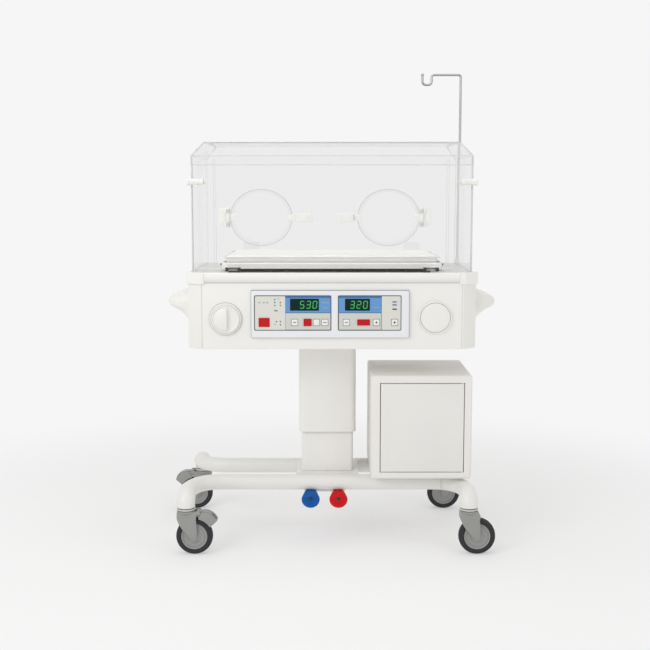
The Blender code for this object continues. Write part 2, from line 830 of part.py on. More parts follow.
def fork_outline(braked):
    # Side view of a fork, with the swivel axis at 0 and the wheel trailing to +X
    axle = (CASTER_TRAIL, WHEEL_RADIUS)
    boss = FORK_BOSS_RADIUS
    crown = COLLAR_RADIUS - CROWN_INSET
    outline = [
        (-crown, CROWN_TOP),
        (-crown, CROWN_TOP - FORK_FRONT_DROP),
        (axle[0] - boss - FORK_WALL, WHEEL_RADIUS + 2 * boss),
    ]
    outline += arc(axle, boss, 180, 360, EAR_STEPS)
    outline.append((axle[0] + boss, CROWN_TOP - FORK_BACK_DROP))
    if braked:
        outline.append((BRAKE_REACH + BRAKE_CHEEK, BRAKE_HEIGHT - BRAKE_CHEEK / 2))
        outline.append((BRAKE_REACH + BRAKE_CHEEK / 2, CROWN_TOP))
    else:
        outline.append((crown, CROWN_TOP))
    return outline


def fork_mesh(braked):
    half = FORK_HALF
    axle = (CASTER_TRAIL, 0, WHEEL_RADIUS)
    fork = prism(fork_outline(braked), "Y", -half, half)
    well_half = WHEEL_WIDTH / 2 + FORK_SIDE_GAP
    well = rod("Y", axle, WHEEL_RADIUS + FORK_ARCH_GAP, -well_half, well_half, ROUND_STEPS)
    collar_profile = [
        (0, CROWN_TOP - FORK_WALL),
        (COLLAR_RADIUS, CROWN_TOP - FORK_WALL),
        (COLLAR_RADIUS, FORK_TOP),
        (STEM_RADIUS, FORK_TOP),
        (STEM_RADIUS, FORK_TOP + STEM_LENGTH),
        (0, FORK_TOP + STEM_LENGTH),
    ]
    collar = turned(collar_profile, "Z", (0, 0, 0), WHEEL_STEPS)
    cap = half + AXLE_CAP
    pins = [rod("Y", axle, AXLE_RADIUS, -cap, cap)]
    cutters = [well]
    if braked:
        slot = BRAKE_WIDTH / 2 + BRAKE_SIDE_GAP
        start = BRAKE_REACH - BRAKE_BOSS_RADIUS - BRAKE_SIDE_GAP
        low = (start, -slot, WHEEL_RADIUS)
        cutters.append(block(low, (BRAKE_REACH + 2 * BRAKE_CHEEK, slot, FORK_TOP + OVERRUN)))
        pin_at = (BRAKE_REACH, 0, BRAKE_HEIGHT)
        pins.append(rod("Y", pin_at, BRAKE_PIN_RADIUS, -half + FORK_WALL / 2, half - FORK_WALL / 2))
    return fused(cut(fused(fork, collar), *cutters), *pins)


def hub_mesh():
    bore = AXLE_RADIUS + RUN
    boss = WHEEL_WIDTH / 2 + HUB_BOSS_PROUD
    rim = WHEEL_WIDTH / 2 - HUB_RIM_INSET
    web = HUB_WEB / 2
    side = [
        (bore, boss),
        (HUB_BOSS_RADIUS, boss),
        (HUB_BOSS_RADIUS + HUB_BOSS_PROUD, web),
        (HUB_RADIUS - HUB_RIM, web),
        (HUB_RADIUS, rim),
    ]
    profile = [(radius, -along) for radius, along in side] + list(reversed(side))
    return turned(profile, "Y", (0, 0, 0), WHEEL_STEPS, ring=True)


def tyre_mesh():
    inner = HUB_RADIUS + FIT
    half = WHEEL_WIDTH / 2
    shoulder = TYRE_SHOULDER
    side = [
        (inner, half - HUB_RIM_INSET),
        (WHEEL_RADIUS - shoulder, half),
        (WHEEL_RADIUS, half - shoulder),
    ]
    profile = [(radius, -along) for radius, along in side] + list(reversed(side))
    return turned(profile, "Y", (0, 0, 0), WHEEL_STEPS, ring=True)


def brake_mesh():
    # A toe lever that arches over the back of the wheel
    tip = (BRAKE_LENGTH, -BRAKE_DROP)
    heel = (BRAKE_LENGTH - BRAKE_TIP * 0.7, -BRAKE_DROP - BRAKE_TIP)
    outline = arc((0, 0), BRAKE_BOSS_RADIUS, 90, 270, EAR_STEPS)
    outline += [
        (BRAKE_LENGTH * 0.35, -BRAKE_PLATE),
        heel,
        tip,
        (BRAKE_LENGTH * 0.55, BRAKE_BOSS_RADIUS),
    ]
    half = BRAKE_WIDTH / 2
    lever = prism(outline, "Y", -half, half)
    bore = rod("Y", (0, 0, 0), BRAKE_PIN_RADIUS + RUN, -half - OVERRUN, half + OVERRUN)
    return cut(lever, bore)


def make_casters(trolley, finish_of):
    forks = {braked: to_object(fork_mesh(braked), "fork").data for braked in (False, True)}
    hub = to_object(hub_mesh(), "hub").data
    tyre = to_object(tyre_mesh(), "tyre").data
    brake = to_object(brake_mesh(), "brake").data
    for item in list(bpy.data.objects):
        if item.name.split(".")[0] in ("fork", "hub", "tyre", "brake"):
            bpy.data.objects.remove(item, do_unlink=True)
    corners = [
        ("front_left", -1, -1, True),
        ("front_right", 1, -1, False),
        ("rear_left", -1, 1, True),
        ("rear_right", 1, 1, False),
    ]
    for corner, side, end, braked in corners:
        fork = share(forks[braked], f"caster_fork_{corner}", finish_of["fork"], trolley)
        fork.location = (side * TRACK / 2, end * WHEELBASE / 2, 0)
        # The rear wheels trail to the left and the front ones to the right
        fork.rotation_euler = (0, 0, math.pi if end > 0 else 0)
        for kind, mesh, finish_name in (("hub", hub, "hub"), ("tyre", tyre, "tyre")):
            piece = share(mesh, f"wheel_{kind}_{corner}", finish_of[finish_name], fork)
            piece.location = (CASTER_TRAIL, 0, WHEEL_RADIUS)
        if braked:
            lever = share(brake, f"brake_pedal_{corner}", finish_of["fork"], fork)
            lever.location = (BRAKE_REACH, 0, BRAKE_HEIGHT)


def share(data, name, material, parent):
    item = bpy.data.objects.new(name, data)
    bpy.context.scene.collection.objects.link(item)
    item.parent = parent
    finish(item, material)
    return item


# Cabinet


def make_cabinet(trolley, finish_of):
    left = CABINET_LEFT
    right = left + CABINET_WIDTH
    front = CABINET_FRONT
    back = front + CABINET_DEPTH
    bottom = CABINET_BOTTOM
    top = bottom + CABINET_HEIGHT
    frame = CABINET_FRAME
    shell = block((left, front, bottom), (right, back, top), CABINET_EDGE)
    mouth_low = (left + frame, front - OVERRUN, bottom + frame)
    mouth_high = (right - frame, front + CABINET_FRAME_DEPTH + OVERRUN, top - frame)
    inside_low = (left + CABINET_WALL, front + CABINET_FRAME_DEPTH, bottom + CABINET_WALL)
    inside_high = (right - CABINET_WALL, back - CABINET_WALL, top - CABINET_WALL)
    # The door's pivot, set in from its right edge and its face
    pivot_x = right - frame - DOOR_GAP - DOOR_PIVOT_INSET
    pivot_y = front + DOOR_PIVOT_INSET
    door_low = bottom + frame + DOOR_GAP
    door_high = top - frame - DOOR_GAP
    reach = DOOR_PIN_LENGTH + RUN
    bores = [
        rod("Z", (pivot_x, pivot_y, 0), DOOR_PIN_RADIUS + RUN, door_low - reach, door_low),
        rod("Z", (pivot_x, pivot_y, 0), DOOR_PIN_RADIUS + RUN, door_high, door_high + reach),
    ]
    shell = cut(shell, block(mouth_low, mouth_high), block(inside_low, inside_high), *bores)
    place(shell, "cabinet_shell", finish_of["cabinet"], trolley)

    gap = frame + DOOR_GAP
    door = block(
        (left + gap, front, door_low),
        (right - gap, front + DOOR_THICKNESS, door_high),
        DOOR_EDGE,
    )
    pan = DOOR_PAN_EDGE
    pan_low = (left + gap + pan, front + DOOR_THICKNESS - DOOR_PAN, door_low + pan)
    pan_high = (right - gap - pan, front + DOOR_THICKNESS + OVERRUN, door_high - pan)
    door = cut(door, block(pan_low, pan_high))
    pins = [
        rod("Z", (pivot_x, pivot_y, 0), DOOR_PIN_RADIUS, door_low - DOOR_PIN_LENGTH, door_low + pan),
        rod("Z", (pivot_x, pivot_y, 0), DOOR_PIN_RADIUS, door_high - pan, door_high + DOOR_PIN_LENGTH),
    ]
    door = fused(door, *pins)
    place(door, "cabinet_door", finish_of["cabinet"], trolley, (pivot_x, pivot_y, door_low))

    # The cradle saddles both tubes under the cabinet
    half_depth = TUBE_SPACING / 2 + TUBE_RADIUS / 2
    end = TRACK / 2 - TUBE_PLAN_BEND - FIT
    low = (left + CRADLE_INSET, -half_depth, TUBE_TOP + FIT + CRADLE_PLATE - CRADLE_DEPTH)
    high = (end, half_depth, TUBE_TOP + FIT + CRADLE_PLATE)
    saddles = [tube_cutter(side, left, right) for side in (-1, 1)]
    place(cut(block(low, high), *saddles), "cabinet_cradle", finish_of["steel"], trolley)


# Tub, deck and what is fixed to them


def make_tub(body, finish_of):
    half_x = TUB_WIDTH / 2
    half_y = TUB_DEPTH / 2
    taper = TUB_FOOT_TAPER
    rings = []
    for height, draw in ((TUB_BOTTOM, taper), (TUB_BOTTOM + taper, 0), (TUB_TOP, 0)):
        flat = cornered_outline(half_x - draw, half_y - draw, TUB_CHAMFER_X, TUB_CHAMFER_Y)
        rings.append([Vector((x, y, height)) for x, y in flat])
    wall = TUB_WALL
    inner = cornered_outline(half_x - wall, half_y - wall, TUB_CHAMFER_X, TUB_CHAMFER_Y)
    hollow = prism(inner, "Z", TUB_BOTTOM + wall, TUB_TOP + OVERRUN)
    knob_hole = rod(
        "Y",
        (KNOB_X, 0, KNOB_Z),
        KNOB_SHAFT_RADIUS + RUN,
        TUB_FRONT - OVERRUN,
        TUB_FRONT + wall + OVERRUN,
        ROUND_STEPS,
    )
    cap_hole = rod(
        "Y",
        (CAP_X, 0, CAP_Z),
        CAP_NECK_RADIUS + RUN,
        TUB_FRONT - OVERRUN,
        TUB_FRONT + wall + OVERRUN,
        ROUND_STEPS,
    )
    place(cut(loft(rings), hollow, knob_hole, cap_hole), "tub", finish_of["shell"], body)


def make_deck(body, finish_of):
    half_x = TUB_WIDTH / 2 + DECK_PROUD
    half_y = TUB_DEPTH / 2 + DECK_PROUD
    wall = DECK_WALL
    step = DECK_STEP
    rings = []
    for height, draw in ((DECK_BOTTOM, 0), (DECK_TOP - step, 0), (DECK_TOP, step)):
        flat = cornered_outline(half_x - draw, half_y - draw, TUB_CHAMFER_X, TUB_CHAMFER_Y)
        rings.append([Vector((x, y, height)) for x, y in flat])
    under = cornered_outline(half_x - wall, half_y - wall, TUB_CHAMFER_X, TUB_CHAMFER_Y)
    hollow = prism(under, "Z", DECK_BOTTOM - OVERRUN, DECK_TOP - wall)
    deck = cut(loft(rings), hollow)

    # Caps on the rim's four corners, the pole's boss and collar, the tray's pivots and the hood's hinges
    added = [corner_cap(x, y) for x in (-1, 1) for y in (-1, 1)]
    pole = (POLE_X, POLE_Y, 0)
    boss_low = DECK_TOP - wall - POLE_SOCKET
    added.append(rod("Z", pole, POLE_BOSS_RADIUS, boss_low, DECK_TOP - step, KNUCKLE_STEPS))
    added.append(
        rod("Z", pole, POLE_COLLAR_RADIUS, DECK_TOP - 2 * step, DECK_TOP + POLE_COLLAR, KNUCKLE_STEPS)
    )
    for side in (-1, 1):
        added += tray_pivot(side)
        added += hood_bracket(side)
    cutters = [
        rod(
            "Z",
            pole,
            POLE_RADIUS + RUN,
            DECK_TOP - POLE_SOCKET,
            DECK_TOP + POLE_COLLAR + OVERRUN,
            PIN_STEPS,
        ),
        rod(
            "Z",
            (-TILT_ARM, 0, 0),
            TILT_ROD_RADIUS + RUN,
            DECK_BOTTOM,
            DECK_TOP + OVERRUN,
        ),
    ]
    for x in (-SLOT_PITCH, 0, SLOT_PITCH):
        for y in (-SLOT_Y, SLOT_Y):
            low = (x - SLOT_LENGTH / 2, y - SLOT_WIDTH / 2)
            high = (x + SLOT_LENGTH / 2, y + SLOT_WIDTH / 2)
            slot = rounded_outline(low, high, SLOT_WIDTH / 2 - FIT, SMALL_CORNER_STEPS)
            cutters.append(prism(slot, "Z", DECK_TOP - wall - OVERRUN, DECK_TOP + OVERRUN))
    place(cut(fused(deck, *added), *cutters), "deck", finish_of["shell"], body)


def corner_cap(side_x, side_y):
    # A shell round one corner of the rim, standing a little proud of it
    proud = CORNER_CAP_PROUD
    half_x = TUB_WIDTH / 2 + DECK_PROUD + proud
    half_y = TUB_DEPTH / 2 + DECK_PROUD + proud
    inner_x = TUB_WIDTH / 2 + DECK_PROUD - DECK_WALL / 2
    inner_y = TUB_DEPTH / 2 + DECK_PROUD - DECK_WALL / 2
    outline = [
        (half_x - CORNER_CAP_LENGTH, half_y),
        (half_x - TUB_CHAMFER_X, half_y),
        (half_x, half_y - TUB_CHAMFER_Y),
        (half_x, half_y - CORNER_CAP_DEPTH),
        (inner_x, half_y - CORNER_CAP_DEPTH),
        (inner_x, inner_y - TUB_CHAMFER_Y),
        (inner_x - TUB_CHAMFER_X, inner_y),
        (half_x - CORNER_CAP_LENGTH, inner_y),
    ]
    outline = [(side_x * x, side_y * y) for x, y in outline]
    return prism(outline, "Z", DECK_BOTTOM, DECK_TOP - CORNER_CAP_DROP)


def tray_pivot(side):
    # Two ears and a pin that one lug of the tray turns on
    parts = []
    middle = side * PIVOT_Y
    half = PIVOT_WIDTH / 2
    for end in (-1, 1):
        inner = middle + end * (half + RUN)
        outer = inner + end * PIVOT_EAR
        outline = [(TILT_ARM + PIVOT_BOSS_RADIUS, DECK_TOP - DECK_STEP)]
        outline += arc((TILT_ARM, PIVOT_Z), PIVOT_BOSS_RADIUS, 0, 180, EAR_STEPS)
        outline.append((TILT_ARM - PIVOT_BOSS_RADIUS, DECK_TOP - DECK_STEP))
        parts.append(prism(outline, "Y", min(inner, outer), max(inner, outer)))
    reach = half + PIVOT_EAR / 2
    parts.append(rod("Y", (TILT_ARM, middle, PIVOT_Z), PIVOT_PIN_RADIUS, -reach, reach))
    return parts


def hood_bracket(side):
    # Two ears and a pin at the deck's back edge for one hinge of the hood
    parts = []
    middle = side * HINGE_X
    half = HINGE_KNUCKLE / 2
    radius = HINGE_KNUCKLE_RADIUS
    for end in (-1, 1):
        inner = middle + end * (half + RUN)
        outer = inner + end * HINGE_EAR
        outline = [(HINGE_Y + radius, DECK_TOP - DECK_STEP)]
        outline += arc((HINGE_Y, HINGE_Z), radius, 0, 180, EAR_STEPS)
        outline.append((HINGE_Y - radius, DECK_TOP - DECK_STEP))
        parts.append(prism(outline, "X", min(inner, outer), max(inner, outer)))
    reach = half + HINGE_EAR / 2
    parts.append(rod("X", (middle, HINGE_Y, HINGE_Z), HINGE_PIN_RADIUS, -reach, reach))
    return parts


def make_handles(body, finish_of):
    # A wing-shaped grip along each side: its outline is lofted with ends that die away
    stations = [(-0.5 + share_along, size) for share_along, size in HANDLE_END_SHARES]
    stations += [(-along, size) for along, size in reversed(stations)]
    for name, side in (("handle_left", -1), ("handle_right", 1)):
        start = side * (TUB_WIDTH / 2 + FIT)
        middle = HANDLE_BOTTOM + HANDLE_HEIGHT / 2
        rings = []
        for along, size in stations:
            ring = []
            for out, up in HANDLE_SHARES:
                x = start + side * out * size * HANDLE_REACH
                z = middle + (up - 0.5) * HANDLE_HEIGHT * (1 + size) / 2
                ring.append(Vector((x, along * HANDLE_LENGTH, z)))
            rings.append(ring)
        place(loft(rings), name, finish_of["shell"], body)


def make_controls(body, finish_of):
    outline = rounded_outline((BEZEL_LEFT, BEZEL_BOTTOM), (BEZEL_RIGHT, BEZEL_TOP), BEZEL_CORNER)
    bezel = prism(outline, "Y", BEZEL_FACE, FRONT_FACE)
    spans = [(LEFT_MODULE_START, LEFT_MODULE_END), (RIGHT_MODULE_START, RIGHT_MODULE_END)]
    windows = [
        block(
            (start - FIT, BEZEL_FACE - OVERRUN, MODULE_BOTTOM - FIT),
            (end + FIT, FRONT_FACE + OVERRUN, MODULE_TOP + FIT),
        )
        for start, end in spans
    ]
    place(cut(bezel, *windows), "control_bezel", finish_of["bezel"], body)

    power = (POWER_X, POWER_WIDTH, POWER_HEIGHT)
    left_red = (LEFT_RED_X, LEFT_RED_WIDTH, LEFT_RED_HEIGHT)
    right_red = (RIGHT_RED_X, RIGHT_RED_WIDTH, RIGHT_RED_HEIGHT)
    make_module(
        "left",
        spans[0],
        (LEFT_DISPLAY_START, LEFT_DISPLAY_END),
        {"power_switch": power, "red_key_left": left_red},
        LEFT_PADS_X,
        body,
        finish_of,
    )
    make_module(
        "right",
        spans[1],
        (RIGHT_DISPLAY_START, RIGHT_DISPLAY_END),
        {"red_key_right": right_red},
        RIGHT_PADS_X,
        body,
        finish_of,
    )


def make_module(side, span, window, keys, pads, body, finish_of):
    # A plug-in panel: its lens sits in a pocket and its red keys in holes
    module = block((span[0], MODULE_FACE, MODULE_BOTTOM), (span[1], FRONT_FACE - FIT, MODULE_TOP))
    pocket = MODULE_FACE + DISPLAY_THICKNESS
    cutters = [
        block(
            (window[0] - FIT, MODULE_FACE - OVERRUN, DISPLAY_BOTTOM - FIT),
            (window[1] + FIT, pocket + FIT, DISPLAY_TOP + FIT),
        )
    ]
    for middle, width, height in keys.values():
        low = (middle - width / 2 - FIT, MODULE_FACE - OVERRUN, KEY_Z - height / 2 - FIT)
        high = (middle + width / 2 + FIT, FRONT_FACE + OVERRUN, KEY_Z + height / 2 + FIT)
        cutters.append(block(low, high))
    raised = []
    for middle in pads:
        low = (middle - PAD_SIDE / 2, MODULE_FACE - PAD_PROUD, KEY_Z - PAD_SIDE / 2)
        high = (middle + PAD_SIDE / 2, MODULE_FACE + PAD_PROUD, KEY_Z + PAD_SIDE / 2)
        raised.append(block(low, high))
    module = fused(cut(module, *cutters), *raised)
    place(module, f"{side}_module", finish_of["module"], body)

    lens = block(
        (window[0], MODULE_FACE, DISPLAY_BOTTOM),
        (window[1], pocket, DISPLAY_TOP),
    )
    place(lens, f"{side}_display", finish_of["display"], body)

    for name, (middle, width, height) in keys.items():
        face = MODULE_FACE - KEY_PROUD
        low = (middle - width / 2, face, KEY_Z - height / 2)
        high = (middle + width / 2, face + KEY_DEPTH, KEY_Z + height / 2)
        key = block(low, high, KEY_EDGE)
        place(key, name, finish_of["red"], body, (middle, face, KEY_Z))


def make_knob(body, finish_of):
    # A dished dial with a raised half to grip, on a shaft through the tub's front
    face = FRONT_FACE - KNOB_FLANGE
    ridge = face - KNOB_RIDGE
    profile = [
        (0, TUB_FRONT + KNOB_SHAFT_LENGTH),
        (KNOB_SHAFT_RADIUS, TUB_FRONT + KNOB_SHAFT_LENGTH),
        (KNOB_SHAFT_RADIUS, FRONT_FACE),
        (KNOB_RADIUS, FRONT_FACE),
        (KNOB_RADIUS, face),
        (KNOB_FACE_RADIUS, ridge),
        (KNOB_FACE_RADIUS - KNOB_RIDGE, ridge),
        (KNOB_FACE_RADIUS - KNOB_RIDGE - KNOB_DISH, ridge + KNOB_DISH),
        (0, ridge + KNOB_DISH),
    ]
    knob = turned(profile, "Y", (KNOB_X, 0, KNOB_Z), ROUND_STEPS)
    top = ridge - KNOB_GRIP_PROUD
    radius = KNOB_GRIP_RADIUS
    profile = [
        (0, face),
        (radius, face),
        (radius, top + KNOB_GRIP_ROUND),
        (radius - KNOB_GRIP_ROUND, top),
        (0, top - KNOB_DISH),
    ]
    grip = turned(profile, "Y", (KNOB_X, 0, KNOB_Z), ROUND_STEPS)
    low = (KNOB_X + KNOB_GRIP_END, top - OVERRUN, KNOB_Z - KNOB_RADIUS)
    high = (KNOB_X + KNOB_RADIUS, face + OVERRUN, KNOB_Z + KNOB_RADIUS)
    grip = cut(grip, block(low, high))
    knob = fused(knob, grip)
    place(knob, "tilt_knob", finish_of["shell"], body, (KNOB_X, FRONT_FACE, KNOB_Z))

    # The filter cap: a dished cover with a ring, its neck seated in the tub's front
    face = FRONT_FACE - CAP_THICKNESS
    neck = TUB_FRONT + CAP_NECK_LENGTH
    inner = CAP_NECK_RADIUS - CAP_NECK_WALL
    floor = face + CAP_DISH + CAP_NECK_WALL
    profile = [
        (0, floor),
        (inner, floor),
        (inner, neck),
        (CAP_NECK_RADIUS, neck),
        (CAP_NECK_RADIUS, FRONT_FACE),
        (CAP_RADIUS, FRONT_FACE),
        (CAP_RADIUS, face + CAP_DISH),
        (CAP_RADIUS - CAP_DISH / 2, face),
        (CAP_RADIUS - CAP_RING, face),
        (CAP_RADIUS - CAP_RING - CAP_DISH / 2, face + CAP_DISH),
        (0, face + CAP_DISH),
    ]
    cap = turned(profile, "Y", (CAP_X, 0, CAP_Z), ROUND_STEPS)
    place(cap, "filter_cap", finish_of["shell"], body, (CAP_X, FRONT_FACE, CAP_Z))


def make_air_unit(body, finish_of):
    floor = TUB_BOTTOM + TUB_WALL + FIT
    top = floor + MOTOR_HEIGHT
    bore = FAN_SHAFT_RADIUS + RUN
    centre = (FAN_X, 0, 0)
    profile = [
        (0, floor),
        (MOTOR_RADIUS, floor),
        (MOTOR_RADIUS, top),
        (bore, top),
        (bore, top - FAN_SHAFT_LENGTH - RUN),
        (0, top - FAN_SHAFT_LENGTH - RUN),
    ]
    place(turned(profile, "Z", centre, WHEEL_STEPS), "fan_motor", finish_of["steel"], body)

    plate = top + FAN_GAP
    profile = [
        (0, top - FAN_SHAFT_LENGTH),
        (FAN_SHAFT_RADIUS, top - FAN_SHAFT_LENGTH),
        (FAN_SHAFT_RADIUS, plate),
        (FAN_RADIUS, plate),
        (FAN_RADIUS, plate + FAN_PLATE),
        (0, plate + FAN_PLATE),
    ]
    wheel = turned(profile, "Z", centre, WHEEL_STEPS)
    blades = []
    for i in range(FAN_BLADE_COUNT):
        low = (FAN_BLADE_INNER, -FAN_BLADE / 2, plate + FAN_PLATE / 2)
        high = (FAN_RADIUS - FAN_PLATE, FAN_BLADE / 2, plate + FAN_HEIGHT)
        blade = block(low, high)
        spin = Matrix.Rotation(2 * math.pi * i / FAN_BLADE_COUNT, 4, "Z")
        bmesh.ops.transform(blade, matrix=Matrix.Translation(centre) @ spin, verts=blade.verts)
        blades.append(blade)
    place(fused(wheel, *blades), "fan_impeller", finish_of["module"], body, (FAN_X, 0, plate))

    # A tubular heater bent round the fan, standing on its two ends
    radius = HEATER_RADIUS
    high = floor + HEATER_HEIGHT
    start = 90 + HEATER_GAP_ANGLE
    end = 90 + 360 - HEATER_GAP_ANGLE
    turn = arc((FAN_X, 0), radius, start, end, HEATER_STEPS)
    corners = [(*turn[0], floor)] + [(x, y, high) for x, y in turn] + [(*turn[-1], floor)]
    radii = [HEATER_BEND] + [0] * (len(turn) - 2) + [HEATER_BEND]
    path = []
    for i, corner in enumerate(corners):
        if 0 < i < len(corners) - 1 and radii[i - 1]:
            path += filleted(corners[i - 1 : i + 2], [radii[i - 1]], CORNER_STEPS)[1:-1]
        else:
            path.append(Vector(corner))
    heater = swept(path, HEATER_TUBE_RADIUS, ROD_SIDE_STEPS)
    place(heater, "heater", finish_of["steel"], body)


# Mattress, tray and tilt


def make_tray(body, finish_of):
    half_x = TRAY_WIDTH / 2
    half_y = TRAY_DEPTH / 2
    bottom = TRAY_BOTTOM
    top = bottom + TRAY_HEIGHT
    wall = TRAY_WALL
    outer = rounded_outline((-half_x, -half_y), (half_x, half_y), TRAY_CORNER)
    inner_low = (-half_x + wall, -half_y + wall)
    inner_high = (half_x - wall, half_y - wall)
    inner = rounded_outline(inner_low, inner_high, TRAY_CORNER - wall)
    pan = cut(prism(outer, "Z", bottom, top), prism(inner, "Z", bottom + wall, top + OVERRUN))
    lugs = []
    bores = []
    for side in (-1, 1):
        middle = side * PIVOT_Y
        low = middle - PIVOT_WIDTH / 2
        high = middle + PIVOT_WIDTH / 2
        outline = [(TILT_ARM - PIVOT_BOSS_RADIUS, bottom + wall / 2)]
        outline += arc((TILT_ARM, PIVOT_Z), PIVOT_BOSS_RADIUS, 180, 360, EAR_STEPS)
        outline.append((TILT_ARM + PIVOT_BOSS_RADIUS, bottom + wall / 2))
        lugs.append(prism(outline, "Y", low, high))
        bores.append(
            rod(
                "Y",
                (TILT_ARM, 0, PIVOT_Z),
                PIVOT_PIN_RADIUS + RUN,
                low - OVERRUN,
                high + OVERRUN,
            )
        )
    pan = cut(fused(pan, *lugs), *bores)
    place(pan, "mattress_tray", finish_of["tray"], body, (TILT_ARM, 0, PIVOT_Z))

    gap = MATTRESS_GAP + wall
    low = (-half_x + gap, -half_y + gap, bottom + wall + FIT)
    high = (half_x - gap, half_y - gap, bottom + wall + FIT + MATTRESS_HEIGHT)
    cushion = block(low, high, MATTRESS_CORNER, 3, "Z")
    place(cushion, "mattress", finish_of["mattress"], body, (TILT_ARM, 0, PIVOT_Z))

    head = bottom - FIT
    profile = [
        (0, TILT_ROD_BOTTOM),
        (TILT_ROD_RADIUS, TILT_ROD_BOTTOM),
        (TILT_ROD_RADIUS, head - TILT_HEAD),
        (TILT_HEAD_RADIUS, head - TILT_HEAD),
        (TILT_HEAD_RADIUS, head),
        (0, head),
    ]
    lifter = turned(profile, "Z", (-TILT_ARM, 0, 0), PIN_STEPS)
    place(lifter, "tilt_rod", finish_of["steel"], body, (-TILT_ARM, 0, head))


def make_pole(body, finish_of):
    # A bent rod: up, across over the hood and round into an open hook
    base = DECK_TOP - POLE_SOCKET + FIT
    end = POLE_X - POLE_ARM
    corners = [
        (POLE_X, POLE_Y, base),
        (POLE_X, POLE_Y, POLE_TOP),
        (end, POLE_Y, POLE_TOP),
        (end, POLE_Y, POLE_TOP - HOOK_DROP),
        (end - HOOK_WIDTH, POLE_Y, POLE_TOP - HOOK_DROP),
        (end - HOOK_WIDTH, POLE_Y, POLE_TOP),
    ]
    path = filleted(corners, [POLE_BEND, POLE_BEND, HOOK_BEND, HOOK_BEND], CORNER_STEPS)
    centre = (end - HOOK_WIDTH, POLE_Y, POLE_TOP)
    reach = HOOK_BALL_RADIUS
    ball = turned(arc((0, 0), reach, -90, 90, BEND_STEPS), "Z", centre, PIN_STEPS)
    pole = fused(swept(path, POLE_RADIUS, ROD_SIDE_STEPS), ball)
    place(pole, "drip_pole", finish_of["steel"], body, (POLE_X, POLE_Y, base))


# Hood


def hood_ring(inset, height, slope=0.0):
    reach = inset + slope
    half = HOOD_WIDTH / 2 - reach
    front = HOOD_FRONT + reach
    back = HOOD_BACK - reach
    flat = [(-half, front), (half, front), (half, back), (-half, back)]
    return [Vector((x, y, height)) for x, y in flat]


def make_hood(body, finish_of):
    # A clear cover with sloped shoulders, open below and at its front
    wall = HOOD_WALL
    outer = loft(
        [
            hood_ring(0, HOOD_BOTTOM),
            hood_ring(0, HOOD_WALL_TOP),
            hood_ring(0, HOOD_TOP, HOOD_SLOPE),
        ]
    )
    inner = loft(
        [
            hood_ring(wall, HOOD_BOTTOM - OVERRUN),
            hood_ring(wall, HOOD_WALL_TOP - wall / 2),
            hood_ring(wall, HOOD_TOP - wall, HOOD_SLOPE),
        ]
    )
    half = HOOD_WIDTH / 2 + OVERRUN
    mouth_low = (-half, HOOD_FRONT - OVERRUN, HOOD_BOTTOM + HOOD_SILL)
    mouth_high = (half, PANEL_BACK + FIT, PANEL_TOP + FIT)
    cover = cut(outer, inner, block(mouth_low, mouth_high))
    cover = fused(cover, *[part for side in (-1, 1) for part in sill_knuckle(side)])
    hinge = (0, HINGE_Y, HINGE_Z)
    place(cover, "hood_shell", finish_of["clear"], body, hinge, 25.0)

    for name, side in (("hood_hinge_left", -1), ("hood_hinge_right", 1)):
        middle = side * HINGE_X
        face = HOOD_BACK + FIT
        half_leaf = HINGE_LEAF_WIDTH / 2
        half_knuckle = HINGE_KNUCKLE / 2
        lift = HINGE_Z + HINGE_KNUCKLE_RADIUS + RUN
        leaf = block(
            (middle - half_leaf, face, lift),
            (middle + half_leaf, face + HINGE_LEAF, lift + HINGE_LEAF_HEIGHT),
            HINGE_LEAF / 3,
        )
        arm = block(
            (middle - half_knuckle, face, HINGE_Z),
            (middle + half_knuckle, face + HINGE_LEAF, lift + HINGE_LEAF_HEIGHT / 2),
        )
        barrel = rod(
            "X",
            (middle, HINGE_Y, HINGE_Z),
            HINGE_KNUCKLE_RADIUS,
            -half_knuckle,
            half_knuckle,
            KNUCKLE_STEPS,
        )
        reach = half_knuckle + OVERRUN
        bore = rod("X", (middle, HINGE_Y, HINGE_Z), HINGE_PIN_RADIUS + RUN, -reach, reach)
        mesh = cut(fused(leaf, arm, barrel), bore)
        place(mesh, name, finish_of["plastic"], body, (middle, HINGE_Y, HINGE_Z))


def sill_knuckle(side):
    # On the hood's sill: a short barrel either side of the panel's, with the pin between them
    length = PANEL_HINGE_LENGTH
    middle = side * PANEL_HINGE_X
    centre_z = PANEL_BOTTOM
    parts = []
    for end in (-1, 1):
        inner = middle + end * (length / 2 + RUN)
        outer = inner + end * length / 3
        low = min(inner, outer)
        high = max(inner, outer)
        parts.append(
            rod("X", (0, PANEL_HINGE_Y, centre_z), PANEL_KNUCKLE_RADIUS, low, high)
        )
        foot_low = (low, PANEL_HINGE_Y, HOOD_BOTTOM + HOOD_SILL / 3)
        parts.append(block(foot_low, (high, HOOD_FRONT + HOOD_WALL / 2, PANEL_BOTTOM - 2 * FIT)))
    reach = length / 2 + length / 6
    parts.append(rod("X", (middle, PANEL_HINGE_Y, centre_z), PANEL_PIN_RADIUS, -reach, reach))
    return parts


def ellipse(centre_x, half_width, half_height, steps=PORT_STEPS):
    points = []
    for i in range(steps):
        angle = 2 * math.pi * i / steps
        x = centre_x + half_width * math.cos(angle)
        points.append((x, PORT_Z + half_height * math.sin(angle)))
    return points


